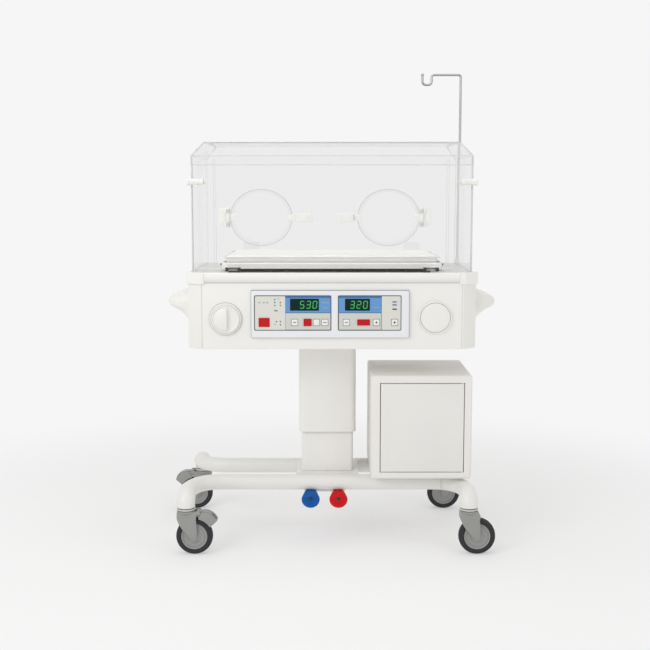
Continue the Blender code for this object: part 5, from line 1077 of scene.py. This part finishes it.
def makeKnob():
    look = knobLook
    radius, grip = pick(look, "radius grip")
    centre = (bodyX + look["x"], 0, look["z"])
    disc = profileAt(grip, frontFace, look["disc"]) + profileAt(radius, frontFace, look["discEdge"])
    # the raised half: a shallow dome cut off by an upright ridge
    top = frontFace + look["domeTop"]
    profile = profileAt(grip, frontFace, look["dome"])
    profile += [(grip * 0.62, top + 0.003), (grip * 0.3, top + 0.0006), (0, top)]
    dome = addTurn(profile, "Y", centre, 96)
    geom = list(dome.verts) + list(dome.edges) + list(dome.faces)
    ridge = {"plane_co": (centre[0] + look["gripEnd"], 0, 0), "plane_no": (1, 0, 0), "clear_outer": True}
    cut = bmesh.ops.bisect_plane(dome, geom=geom, **ridge)
    rim = [item for item in cut["geom_cut"] if isinstance(item, bmesh.types.BMEdge)]
    bmesh.ops.holes_fill(dome, edges=rim, sides=0)
    parts = [addTurn(disc, "Y", centre, 96), roundOff(dome, 0.0022, 4, 40)]
    finishPiece(parts, "knobSkin", "knob", "gripShell", "shell", ["tilt_knob"], smooth=40)
    # a grey ring round the knob: painted shadow in the gap round it
    surround = addTurn(profileAt(radius, frontFace, look["surround"]), "Y", centre, 96, ring=True)
    finishPiece(surround, "knobShadowRing", "upper", "seamGreyAndGapShade", "shell")
    # a grey ring on the disc: painted shade of a groove
    line = addTurn(profileAt(grip, frontFace, look["line"]), "Y", centre, 96, ring=True)
    finishPiece(line, "knobGrooveShadow", "knob", "seamGreyAndGapShade", "shell")


capLook = {
    "cover": mm(
        (None, -9.4), (-16, -9), (-8, -8), (-6.6, -7.2), (-5, -7.2), (-4.2, -8.4), (-2.6, -8.8), (-1, -7.6),
        (0, -5), (0, 0), (None, 0),
    ),
    "groove": mm((-6.5, -7.4), (-5.8, -7.7), (-5.1, -7.4), (-5.8, -6.8)),
}


def makeCap():
    low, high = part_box("filter_cap")
    centre = ((low.x + high.x) / 2, 0, (low.z + high.z) / 2)
    radius = (high.x - low.x) / 2
    cover = addTurn(profileAt(radius, frontFace, capLook["cover"]), "Y", centre, 96)
    finishPiece(cover, "filterCover", "cap", "gripShell", "shell", ["filter_cap"], smooth=40)
    # a grey ring in the cover's groove: painted shade of the groove
    groove = addTurn(profileAt(radius, frontFace, capLook["groove"]), "Y", centre, 96, ring=True)
    finishPiece(groove, "filterCoverGrooveShade", "cap", "capGrooveShade", "shell")


# tray and its rails

trayLook = {
    "bottom": 0.9665, "corner": 0.02, "wall": 0.004, "floor": 0.003, "lipProud": 0.0012, "lipWidth": 0.0016,
    "pivotX": 0.33, "pivotZ": 0.963, "lugY": 0.14, "lugHalf": 0.0098, "lugRadius": 0.006, "gapShadowInset": 0.0075,
    "catchY": 0.165, "catch": (0.004, 0.01), "shadeBarX": (-0.352, 0.335), "shadeBarY": 0.187, "shadeBarHalf": 0.006,
    "shadeBarTop": 0.9655, "shadeApronX": (-0.346, 0.329), "shadeApronY": (-0.2345, -0.188), "shadeApronTop": 0.9582,
    "catchKnob": mm((0, -1.2), (3, -1.2), (3.4, 0), (3, 1.6), (0, 2)),
}


def makeTray():
    look = trayLook
    low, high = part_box("mattress_tray")
    bottom, corner, wall, proud = pick(look, "bottom corner wall lipProud")
    top = high.z
    tray = addPlate(roundBox(low, high, 0, corner), "Z", bottom, top)
    upper, = facing(tray, (0, 0, 1))
    pushIn(tray, upper, wall)
    pushIn(tray, upper, 0.0005, -(top - bottom - look["floor"]))
    lip = addPlate(roundBox(low, high, proud, corner + 0.001), "Z", top - 0.0085, top - 0.004)
    hollowOut(lip, look["lipWidth"])
    parts = [roundOff(tray, 0.0012, 3, 40), roundOff(lip, 0.0006, 2, 40)]
    pivot, radius = bodyX + look["pivotX"], look["lugRadius"]
    outline = [(pivot - radius, bottom + 0.001)] + arcOf((pivot, look["pivotZ"]), radius, 180, 360, 14)
    outline.append((pivot + radius, bottom + 0.001))
    for side in bothSides:
        lug = addPlate(outline, "Y", *around(side * look["lugY"], look["lugHalf"]))
        parts.append(roundOff(lug, 0.0006, 2, 40))
    finishPiece(parts, "traySkin", "bed", "trayShell", "tray", ["mattress_tray"])

    # a grey ring between the tray and the mattress: painted shadow in the gap where the mattress sits in the
    # tray
    gapShadow = addPlate(roundBox(low, high, -look["gapShadowInset"], corner), "Z", top - 0.0004, top + 0.001)
    finishPiece(hollowOut(gapShadow, wall), "trayGapShadow", "bed", "shadowGap", "tray")

    # small dark catches at the tray's ends
    catches = []
    halfX, halfY = look["catch"]
    for end, x in ((-1, low.x), (1, high.x)):
        for y in around(0, look["catchY"]):
            spanZ = (top - 0.0105, top - 0.004)
            catches.append(addBlock(around(x, halfX), around(y, halfY), spanZ, 0.0016, 3))
            place = (x + end * 0.0025, y - 0.011, top - 0.0075)
            catches.append(addTurn(look["catchKnob"], "Y", place, 20))
    finishPiece(catches, "trayCatches", "bed", "darkPartsAndShade", "tray")

    # dark bars and a flat apron under the tray: painted shadow in the gap under the tray and on the deck in
    # front of it
    shadeBars = []
    shadowBase = deckTop + 0.0002
    spanX, shadeApronX = ([bodyX + x for x in look[name]] for name in ("shadeBarX", "shadeApronX"))
    for y in around(0, look["shadeBarY"]):
        shadeBars.append(addBlock(spanX, around(y, look["shadeBarHalf"]), (shadowBase, look["shadeBarTop"]), 0.0015, 3))
    shadeBars.append(addBlock(shadeApronX, look["shadeApronY"], (shadowBase, look["shadeApronTop"]), 0.0008))
    finishPiece(shadeBars, "underTrayShadow", "upper", "darkPartsAndShade", "tray")


# mattress

mattressLook = {
    "corner": 0.016, "inset": 0.003, "edge": 0.008, "voxel": 0.006, "crown": 0.0016, "ripple": 0.0004,
    "piping": 0.0022, "pipeInset": 0.0012, "frames": 20, "cap": 0.006, "pressure": 3.0,
    "cloth": {
        "quality": 5, "mass": 0.3, "tension_stiffness": 20, "compression_stiffness": 20, "shear_stiffness": 8,
        "bending_stiffness": 2, "use_pressure": True,
    },
}


def pressureSimulate(piece):
    # the cover swells a little under air pressure; points move no further than the cap
    look = mattressLook
    start = [vert.co.copy() for vert in piece.data.vertices]
    cloth = piece.modifiers.new("swell", "CLOTH")
    for name, value in look["cloth"].items():
        setattr(cloth.settings, name, value)
    cloth.settings.uniform_pressure_force = look["pressure"]
    cloth.settings.effector_weights.gravity = 0.0
    cloth.collision_settings.use_collision = False
    cloth.collision_settings.use_self_collision = False
    cloth.point_cache.frame_start = 1
    cloth.point_cache.frame_end = look["frames"]
    scene = bpy.context.scene
    for number in range(1, look["frames"] + 1):
        scene.frame_set(number)
    graph = bpy.context.evaluated_depsgraph_get()
    swollen = bpy.data.meshes.new_from_object(piece.evaluated_get(graph))
    places = [vert.co.copy() for vert in swollen.vertices]
    piece.modifiers.remove(cloth)
    for vert, before, after in zip(piece.data.vertices, start, places):
        step = after - before
        if step.length > look["cap"]:
            step = step.normalized() * look["cap"]
        vert.co = before + step
    bpy.data.meshes.remove(swollen)
    scene.frame_set(1)


def makeMattress():
    low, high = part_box("mattress")
    look = mattressLook
    pad = addPlate(roundBox(low, high, -look["inset"], look["corner"]), "Z", low.z + 0.001, high.z)
    roundOff(pad, look["edge"], 4, 40)
    piece = finishPiece(pad, "mattressCover", "bed", "coverCloth", "mattress", ["mattress"], smooth=180)
    remesh = piece.modifiers.new("voxels", "REMESH")
    remesh.mode = "VOXEL"
    remesh.voxel_size = look["voxel"]
    remesh.use_smooth_shade = True
    graph = bpy.context.evaluated_depsgraph_get()
    fine = bpy.data.meshes.new_from_object(piece.evaluated_get(graph))
    piece.modifiers.remove(remesh)
    piece.data = fine
    pressureSimulate(piece)
    # flat underneath, softly crowned on top
    half = (high - low) / 2
    middle = (low + high) / 2
    for vert in piece.data.vertices:
        vert.co.z = max(vert.co.z, low.z + 0.0006)
        if vert.co.z > middle.z:
            shareX = (vert.co.x - middle.x) / half.x
            shareY = (vert.co.y - middle.y) / half.y
            crown = (1 - shareX ** 4) * (1 - shareY ** 4)
            ripple = math.sin(shareX * 9.0) * math.sin(shareY * 5.0 + 1.0)
            vert.co.z += look["crown"] * crown + look["ripple"] * ripple * crown
        vert.co.z = min(vert.co.z, high.z + 0.004)
    smoother = piece.modifiers.new("smooth", "SUBSURF")
    smoother.levels = smoother.render_levels = 1

    # piped seams round the upper and lower edges
    cords = []
    for z in (low.z + 0.0065, high.z - 0.003):
        path = [Vector((x, y, z)) for x, y in roundBox(low, high, -look["pipeInset"], look["corner"], 10)]
        start = (path[-1] + path[0]) / 2
        cords.append(addPipe([start] + path + [start], look["piping"], 3))
    finishPiece(cords, "mattressPiping", "bed", "coverCloth", "mattress", smooth=80)


# drip pole

poleLook = {
    "x": 0.476, "y": 0.22, "top": 1.65, "radius": 0.0045, "bend": 0.01, "hookBend": 0.0125, "arm": 0.107,
    "hookWidth": 0.034, "hookDrop": 0.036, "ball": 0.006,
}


def makePole():
    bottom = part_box("drip_pole")[0].z
    x, y, top, radius, bend, hookBend = pick(poleLook, "x y top radius bend hookBend")
    arm, width, drop, ball = pick(poleLook, "arm hookWidth hookDrop ball")
    x += bodyX
    end = x - arm
    tip = end - width
    places = [(x, bottom), (x, top), (end, top), (end, top - drop), (tip, top - drop), (tip, top)]
    path = bentPath([(across, y, z) for across, z in places], [bend, bend, hookBend, hookBend], 12)
    parts = [addPipe(path, radius, 8), addTurn(arcOf((0, 0), ball, -90, 90), "Z", (tip, y, top), 32)]
    finishPiece(parts, "poleSkin", "pole", "brightSteel", "steel", ["drip_pole"], smooth=60)


# clear hood

hoodLook = {
    "wall": 0.005, "wallTop": 1.3436, "slope": 0.041, "sill": 0.0125, "edge": 0.001, "seam": 0.0012,
    "fold": 0.0023,
    "mouthTop": 1.3142, "mouthDepth": 0.0063, "strips": (0.028, 0.036), "stripBack": 0.0062, "strip": 0.0006,
    "barrelX": 0.33, "barrelZ": 0.9691, "barrel": 0.005, "barrelSpan": (0.0155, 0.0255), "pin": 0.0022,
    "pinHalf": 0.02,
}


def makeHood():
    wall, wallTop, slope, sill, edge = pick(hoodLook, "wall wallTop slope sill edge")
    bottom, left, front = hoodLow.z, hoodLow.x, sheetFront
    right, back, _ = hoodHigh
    ring = [(left, front), (right, front), (right, back), (left, back)]
    shell = bmesh.new()
    base = shell.faces.new([shell.verts.new((*place, bottom)) for place in ring])
    for height, inset in ((wallTop, 0), (hoodHigh.z, slope)):
        made = bmesh.ops.extrude_face_region(shell, geom=[base], use_keep_orig=True)
        bmesh.ops.delete(shell, geom=[base], context="FACES_ONLY")
        base, = [item for item in made["geom"] if isinstance(item, bmesh.types.BMFace)]
        for vert in base.verts:
            vert.co.z = height
            vert.co.x += inset if vert.co.x < bodyX else -inset
            vert.co.y += inset if vert.co.y < 0 else -inset
    bmesh.ops.recalc_face_normals(shell, faces=shell.faces)
    if base.normal.z < 0:
        bmesh.ops.reverse_faces(shell, faces=shell.faces)
    # the mouth for the front panel
    mouthLow = bottom + sill
    mouthHigh = hoodLook["mouthTop"]
    mouthBack = front + hoodLook["mouthDepth"]
    for axis, place in (("Z", mouthLow), ("Z", mouthHigh), ("Y", mouthBack)):
        geom = list(shell.verts) + list(shell.edges) + list(shell.faces)
        cut = {"plane_co": onAxis(axis, 0, 0, place), "plane_no": onAxis(axis, 0, 0, 1)}
        bmesh.ops.bisect_plane(shell, geom=geom, **cut)
    gone = []
    for face in shell.faces:
        middle = face.calc_center_median()
        if mouthLow < middle.z < mouthHigh and middle.y < mouthBack:
            gone.append(face)
    bmesh.ops.delete(shell, geom=gone, context="FACES")
    walls = {"smooth": 0, "wall": wall, "edge": edge}
    finishPiece(shell, "hoodClear", "hood", "clearHood", "clear", ["hood_shell"], **walls)

    # bonded seams along the folds and the corners
    crown = [(left + slope, front + slope), (right - slope, front + slope)]
    crown += [(right - slope, back - slope), (left + slope, back - slope)]
    lines = []
    for i in range(4):
        here, following = ring[i], ring[(i + 1) % 4]
        upper, beyond = crown[i], crown[(i + 1) % 4]
        if i != 2:
            lines.append(("seam", [(*here, wallTop), (*following, wallTop)]))
        start = mouthHigh + 0.003 if i < 2 else bottom + 0.003
        lines.append(("fold", [(*here, start), (*here, wallTop), (*upper, hoodHigh.z)]))
        lines.append(("fold", [(*upper, hoodHigh.z), (*beyond, hoodHigh.z)]))
    seams = []
    for kind, line in lines:
        radius = hoodLook[kind]
        # inside the sheet, one radius below its faces
        path = []
        for x, y, z in line:
            inX, inY = (radius if x < bodyX else -radius), (radius if y < 0 else -radius)
            path.append(Vector((x + inX, y + inY, z - radius)))
        seams.append(addPipe(path, radius))
    # the edges of the strip that is bonded into each back corner
    y = back - hoodLook["stripBack"]
    for x in [left + inset for inset in hoodLook["strips"]] + [right - inset for inset in hoodLook["strips"]]:
        line = [Vector((x, y, z)) for z in (bottom + 0.002, wallTop)]
        seams.append(addPipe(line, hoodLook["strip"], 3))
    finishPiece(seams, "hoodSeams", "hood", "foldFrost", "clear", smooth=60)

    # frosted sawn ends beside the front panel
    ends = []
    for side, outer in ((-1, left), (1, right)):
        span = (outer + side * 0.0002, outer - side * (wall + 0.0002))
        ends.append(addBlock(span, (mouthBack - 0.0008, mouthBack + 0.001), (mouthLow, mouthHigh), 0.0004))
        for upright in ((bottom, mouthLow), (mouthHigh, wallTop)):
            ends.append(addBlock(span, (front - 0.0004, front + 0.0008), upright, 0.0003))
    finishPiece(ends, "hoodEnds", "hood", "edgeFrost", "clear")

    # barrels along the sill that the front panel turns on
    knuckles = []
    axis = (pivotY, hoodLook["barrelZ"])
    for side in bothSides:
        middle = bodyX + side * hoodLook["barrelX"]
        for end in bothSides:
            span = [middle + end * step for step in hoodLook["barrelSpan"]]
            knuckles.append(roundOff(addRod(hoodLook["barrel"], span, "X", (0, *axis), 24), 0.0006, 2, 40))
            knuckles.append(addBlock(span, (pivotY, front + 0.001), (bottom + 0.0042, 0.9685), 0.0005))
        span = around(0, hoodLook["pinHalf"])
        knuckles.append(addRod(hoodLook["pin"], span, "X", (middle, *axis), 20))
    finishPiece(knuckles, "sillBarrels", "hood", "darkPartsAndShade", "clear")


hingeLook = {
    "axis": (0.248, 0.967), "thick": 0.005, "armHalf": 0.015, "armTop": 0.035, "radius": 0.0085,
    "bore": 0.0046,
}


def makeHoodHinge(node, name):
    low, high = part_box(node)
    middle = (low.x + high.x) / 2
    axis, thick, half, armTop, radius, bore = pick(hingeLook, "axis thick armHalf armTop radius bore")
    leaf = addPlate(roundRect(low.x, axis[1] + 0.009, high.x, high.z, 0.006, 6), "Y", low.y, low.y + thick)
    arm = addBlock(around(middle, half), (low.y, low.y + thick), (axis[1], axis[1] + armTop), 0.001)
    barrel = addRod(radius, (-half, half), "X", (middle, *axis), 36, bore)
    parts = [roundOff(leaf, 0.0014, 3, 40), arm, roundOff(barrel, 0.0008, 2, 40)]
    finishPiece(parts, name, "hood", "clearHood", "plastic", [node])


# front panel, hand ports and latches, across from the tub's middle

portLook = {
    "leftX": -0.2346, "rightX": 0.1873, "z": 1.139, "halfWidth": 0.092, "halfHeight": 0.083, "lap": 0.0097,
    "back": -0.2453, "thick": 0.004, "railOut": 0.047, "hingeOut": 0.008, "plateSpan": (0.0075, 0.03),
    "armLength": 0.022, "knuckle": 0.0065, "knuckleHalf": 0.012, "bore": 0.0033, "pin": 0.0028, "pinHalf": 0.03,
    "barrel": (0.0125, 0.033), "collar": (0.0155, 0.0285), "collarRadius": 0.0072, "collarBore": 0.006,
}
sheetLook = {
    "half": 0.467, "thick": 0.006, "bottom": 0.9691, "top": 1.3139, "strip": 0.0022, "topStrip": 0.0012,
    "barrelHalf": 0.015, "bore": 0.0027, "stripInset": 0.0023,
}
latchLook = {
    "start": 0.424, "y": -0.2581, "z": 1.257, "lugRadius": 0.0068, "lug": (0.0005, 0.0055), "pin": 0.004,
    "pinEnds": (0.4205, 0.47), "tab": 0.023, "tabHalf": 0.006,
    "barrel": mm(
        (4.6, 0), (9.8, 0), (10.6, 0.8), (10.6, 14), (9.2, 15.2), (9.2, 16.6), (10.6, 17.8), (10.6, 29.2),
        (9.2, 30.4), (9.2, 31.8), (10.6, 33), (10.6, 45), (11.8, 46), (12.5, 47), (12.5, 54.5), (11.5, 55.8),
        (0, 56), (0, 51), (4.6, 51),
    ),
}


def makePanel():
    half, thick, bottom, top, strip, topStrip = pick(sheetLook, "half thick bottom top strip topStrip")
    front, middleY = sheetFront, sheetFront + 0.003
    start, latchY, latchZ, lugRadius, pin = pick(latchLook, "start y z lugRadius pin")
    leftX, rightX, portZ, width, height = pick(portLook, "leftX rightX z halfWidth halfHeight")
    corners = [(bodyX - half, bottom), (bodyX + half, bottom), (bodyX + half, top), (bodyX - half, top)]
    mouths = []
    for portX in (leftX, rightX):
        ring = arcOf((0, 0), 1.0, 0, 360, 96)[:-1]
        mouths.append([(bodyX + portX + width * x, portZ + height * z) for x, z in ring])
    sheet = roundOff(addHoledPlate(corners, mouths, front, front + thick), 0.001, 2, 60)
    finishPiece(sheet, "panelClear", "panel", "clearPanel", "clear", ["front_panel"], smooth=0)
    barrels, edges, fittings = [], [], []
    for side in bothSides:
        x = bodyX + side * hoodLook["barrelX"]
        span = around(0, sheetLook["barrelHalf"])
        barrel = addRod(hoodLook["barrel"], span, "X", (x, pivotY, bottom), 24, sheetLook["bore"])
        barrels.append(roundOff(barrel, 0.0005, 2, 40))
        spanY, spanZ = (pivotY, front + 0.0005), (bottom + 0.0003, bottom + 0.005)
        barrels.append(addBlock(around(x, 0.0145), spanY, spanZ, 0.0006))
        x = bodyX + side * (half - sheetLook["stripInset"])
        edges.append(addPipe([Vector((x, middleY, z)) for z in (bottom + 0.003, top - 0.003)], strip))
        # the lug and the pin that carry a latch
        ends = sorted(bodyX + side * (start - step) for step in latchLook["lug"])
        outline = arcOf((latchY, latchZ), lugRadius, 90, 270, 14)
        outline = [(front + 0.0004, latchZ + 0.0085)] + outline + [(front + 0.0004, latchZ - 0.0085)]
        fittings.append(roundOff(addPlate(outline, "X", *ends), 0.0008, 2, 40))
        ends = [bodyX + side * end for end in latchLook["pinEnds"]]
        fittings.append(addRod(pin, ends, "X", (0, latchY, latchZ), 24))
    edges.append(addPipe([Vector((x, middleY, top - 0.0014)) for x in around(bodyX, half - 0.004)], topStrip))
    finishPiece(barrels, "panelBarrels", "panel", "clearPanel", "clear")
    finishPiece(edges, "panelEdges", "panel", "foldFrost", "clear", smooth=60)
    spanY = (front - 0.0045, front + 0.0005)
    for portX, free in ((leftX, 1), (rightX, -1)):
        x = bodyX + portX + free * (width + portLook["lap"] + portLook["railOut"])
        fittings.append(addBlock(around(x, 0.01), spanY, around(portZ, 0.005), 0.0006))
    finishPiece(fittings, "panelFittings", "panel", "whiteFitting", "plastic")


doorLook = {
    "sheet": [
        (0, -0.009), (0.8, -0.009), (0.83, -0.0082), (0.885, -0.0008), (0.91, 0), (0.992, 0), (1.0, -0.0008),
        (1.0, -0.0028), (0.988, -0.004), (0.905, -0.004), (0.88, -0.0048), (0.825, -0.012), (0.8, -0.013),
        (0, -0.013),
    ],
    "rim": [(1.0, 0), (1.012, -0.0006), (1.014, -0.0026), (1.006, -0.0044), (0.998, -0.004)],
    "screw": mm((0, -1.2), (2.8, -1), (3.8, 0), (0, 0)),
}


def makePort(name, free):
    look = portLook
    portX, z, back, lap = pick(look, name + "X z back lap")
    front = back - look["thick"]
    width, height = look["halfWidth"] + lap, look["halfHeight"] + lap
    body = name + "_port"
    place = Matrix.Translation((bodyX + portX, 0, z)) @ Matrix.Diagonal((width, 1.0, height, 1.0))
    door = moved(addTurn(profileAt(0, back, doorLook["sheet"]), "Y", steps=96), place)
    finishPiece(door, name + "DoorClear", body, "clearDoor", "clear", ["port_door_" + name], smooth=24)
    # a soft rim round the door's edge
    rim = moved(addTurn(profileAt(0, back, doorLook["rim"]), "Y", steps=96, ring=True), place)
    finishPiece(rim, name + "DoorRim", body, "portSeam", "clear", smooth=60)

    # the door's arm and knuckle, the bracket on the panel, and the tongue
    hingeX = bodyX + portX - free * (width + look["hingeOut"])
    axis = (hingeX, pivotY, z)
    latchSide = bodyX + portX + free * width
    spanX = (latchSide - free * 0.012, latchSide + free * 0.016)
    spanY = (front - 0.0024, front + 0.0006)
    arm = addBlock((hingeX, hingeX + free * look["armLength"]), spanY, around(z, 0.0118), 0.001, 3)
    knuckle = addRod(look["knuckle"], around(0, look["knuckleHalf"]), "Z", axis, inner=look["bore"])
    roundOff(knuckle, 0.0006, 2, 40)
    tongue = addBlock(spanX, (front - 0.0022, front + 0.0008), around(z, 0.01), 0.0009, 3)
    finishPiece([arm, knuckle, tongue], name + "DoorFittings", body, "whiteFitting", "clear")

    low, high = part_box("port_hinge_" + name)
    outer = sorted(hingeX - free * step for step in look["plateSpan"])
    outline = roundRect(outer[0], low.z + 0.004, outer[1], high.z - 0.002, 0.005, 6)
    parts = [roundOff(addPlate(outline, "Y", back - 0.006, back), 0.0014, 3, 40)]
    parts.append(addRod(look["pin"], around(0, look["pinHalf"]), "Z", axis, 20))
    collars = []
    for end in bothSides:
        span = sorted(end * step for step in look["barrel"])
        parts.append(roundOff(addRod(look["knuckle"], span, "Z", axis), 0.0008, 2, 40))
        spanZ = (z + span[0] + 0.0006, z + span[1] - 0.0006)
        parts.append(addBlock((hingeX, hingeX - free * 0.013), (pivotY - 0.003, back - 0.001), spanZ, 0.001))
        screwX = (outer[0] + outer[1]) / 2 - free * 0.004
        parts.append(addTurn(doorLook["screw"], "Y", (screwX, back - 0.006, z + end * 0.02), 20))
        # light grey collars on the barrel: painted shade of its round
        span = [end * step for step in look["collar"]]
        collar = addRod(look["collarRadius"], span, "Z", axis, inner=look["collarBore"])
        collars.append(roundOff(collar, 0.0005, 2, 40))
    finishPiece(parts, name + "PortBracket", "panel", "whiteFitting", "plastic", ["port_hinge_" + name])
    finishPiece(collars, name + "PortCollarsShaded", "panel", "hingeCollarShade", "plastic")

    # the sprung latch: a body with a finger dish, a nose and a ridged end
    low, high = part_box("port_latch_" + name)
    nose = low.x + 0.01 if free > 0 else high.x - 0.01
    tip = high.x if free > 0 else low.x
    start, end = sorted((nose, tip))
    latch = addPlate(roundRect(start, low.z, end, high.z, 0.0035, 6), "Y", low.y, high.y)
    grip = roundRect(start + 0.006, low.z + 0.0085, end - 0.006, high.z - 0.0055, 0.0025, 5)
    parts = [roundOff(latch, 0.002, 4, 40)]
    parts.append(roundOff(addPlate(grip, "Y", low.y - 0.0008, low.y + 0.001), 0.0006, 2, 40))
    spanX, spanY = (nose, nose - free * 0.0098), (high.y - 0.0024, high.y)
    parts.append(addBlock(spanX, spanY, (low.z + 0.004, high.z - 0.004), 0.0006))
    for i in range(4):
        x = tip - free * (0.008 + 0.0035 * i)
        spanY, spanZ = (low.y - 0.0015, low.y + 0.001), (low.z + 0.009, high.z - 0.006)
        parts.append(addBlock(around(x, 0.0007), spanY, spanZ, 0.0003, 1))
    finishPiece(parts, name + "PortLatch", body + "_latch", "whiteFitting", "plastic", ["port_latch_" + name])


def makePanelLatch(node, name, body, side):
    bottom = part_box(node)[0].z
    start, latchY, latchZ = pick(latchLook, "start y z")
    profile = [(radius, bodyX + side * (start + along)) for radius, along in latchLook["barrel"]]
    barrel = addTurn(profile, "X", (0, latchY, latchZ), 40, ring=True)
    middle = bodyX + side * (start + latchLook["tab"])
    spanY, spanZ = around(latchY, 0.0019), (bottom + 0.004, latchZ - 0.009)
    tab = addBlock(around(middle, latchLook["tabHalf"]), spanY, spanZ, 0.0014, 3)
    finishPiece([barrel, tab], name, body, "whiteFitting", "plastic", [node], smooth=40)


# what stays as CAD gets its finish here

keptFinishes = {
    "column_foot": "tubePaint", "lift_actuator": "darkSteel", "lift_rod": "brightSteel",
    "pedal_bracket": "tubePaint",
    "cabinet_cradle": "cradleShadedPaint", "deck": "deckShellShaded", "left_module": "moduleFace",
    "right_module": "moduleFace",
    "fan_motor": "darkSteel", "fan_impeller": "fanShell", "heater": "brightSteel", "tilt_rod": "brightSteel",
}


def finishKept():
    for node, finish in keptFinishes.items():
        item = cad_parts[node]
        item.data.materials.clear()
        item.data.materials.append(finishes[finish])


# build the object

makeTube("front_tube", -1)
makeTube("rear_tube", 1)
makeElbowSeam()
makeColumn()
makePedal("pedal_up", "upPedal", "up_pedal", "bluePedal", "blue")
makePedal("pedal_down", "downPedal", "down_pedal", "redPedal", "red")
makeCasters()
makeCabinet()
print("trolley dressed")
makeTub()
makeRim()
makeHandle("handle_left", "leftHandle", -1)
makeHandle("handle_right", "rightHandle", 1)
makeBezel()
makeModules()
makeRedKeys()
makeKnob()
makeCap()
print("body dressed")
makeTray()
makeMattress()
makePole()
print("bed and pole dressed")
makeHood()
makeHoodHinge("hood_hinge_left", "leftHoodHinge")
makeHoodHinge("hood_hinge_right", "rightHoodHinge")
makePanel()
makePort("left", 1)
makePort("right", -1)
makePanelLatch("panel_latch_left", "leftPanelLatch", "left_panel_latch", -1)
makePanelLatch("panel_latch_right", "rightPanelLatch", "right_panel_latch", 1)
finishKept()
print("hood dressed")


# floor, backdrop and lamps

stageLook = {
    "backdrop": srgb(246, 246, 246), "floorColour": srgb(250, 250, 250), "floorSize": 30.0, "glow": 0.4,
    "near": 0.8, "far": 2.4, "worldLevel": 0.575, "keyPower": 40.0, "fillPower": 10.5, "topPower": 23.0,
}


def makeFloor():
    look = stageLook
    part = bmesh.new()
    bmesh.ops.create_grid(part, x_segments=4, y_segments=4, size=look["floorSize"] / 2)
    data = bpy.data.meshes.new("floor")
    part.to_mesh(data)
    part.free()
    floor = bpy.data.objects.new("floor", data)
    bpy.context.scene.collection.objects.link(floor)
    finish, tree, shader = startFinish("floorPaper")
    setInputs(shader, {"Base Color": look["floorColour"], "Roughness": 0.9, "Specular IOR Level": 0.1})
    glow = addNode(tree, "Emission", {"Color": look["backdrop"]})
    where = addNode(tree, "TexCoord")
    distance = addNode(tree, "VectorMath", operation="LENGTH")
    reach = {"From Min": look["near"], "From Max": look["far"], "To Min": look["glow"]}
    fade = addNode(tree, "MapRange", reach, interpolation_type="SMOOTHSTEP")
    tree.links.new(where.outputs["Object"], distance.inputs[0])
    tree.links.new(distance.outputs["Value"], fade.inputs["Value"])
    mixShaders(tree, fade.outputs["Result"], shader, glow, "Material Output")
    data.materials.append(finish)


def makeWorld():
    world = bpy.data.worlds.new("studio")
    bpy.context.scene.world = world
    world.use_nodes = True
    tree = world.node_tree
    sky = {"Color": (1.0, 0.995, 0.985, 1.0), "Strength": stageLook["worldLevel"]}
    light = setInputs(tree.nodes["Background"], sky)
    seen = addNode(tree, "Background", {"Color": stageLook["backdrop"]})
    path = addNode(tree, "LightPath")
    either = path.outputs["Is Camera Ray"]
    for name in ("Is Glossy Ray", "Is Transmission Ray"):
        largest = addNode(tree, "Math", operation="MAXIMUM")
        linkAll(tree, (either, largest.inputs[0]), (path.outputs[name], largest.inputs[1]))
        either = largest.outputs["Value"]
    mixShaders(tree, either, light, seen, "World Output")


def makeLamp(name, place, target, size, power):
    data = bpy.data.lights.new(name, "AREA")
    data.shape = "RECTANGLE"
    data.size, data.size_y = size
    data.energy = power
    lamp = bpy.data.objects.new(name, data)
    lamp.location = place
    lamp.rotation_euler = (Vector(target) - Vector(place)).to_track_quat("-Z", "Y").to_euler()
    bpy.context.scene.collection.objects.link(lamp)


makeFloor()
makeWorld()
makeLamp("keyLamp", (-2.2, -2.6, 2.6), (0, 0, 0.8), (2.4, 1.8), stageLook["keyPower"])
makeLamp("fillLamp", (2.6, -2.2, 1.6), (0, 0, 0.8), (1.8, 1.8), stageLook["fillPower"])
makeLamp("topLamp", (0.0, -0.1, 3.4), (0, 0, 0), (2.6, 2.2), stageLook["topPower"])
bpy.context.scene.view_settings.view_transform = "Standard"
print("stage set")
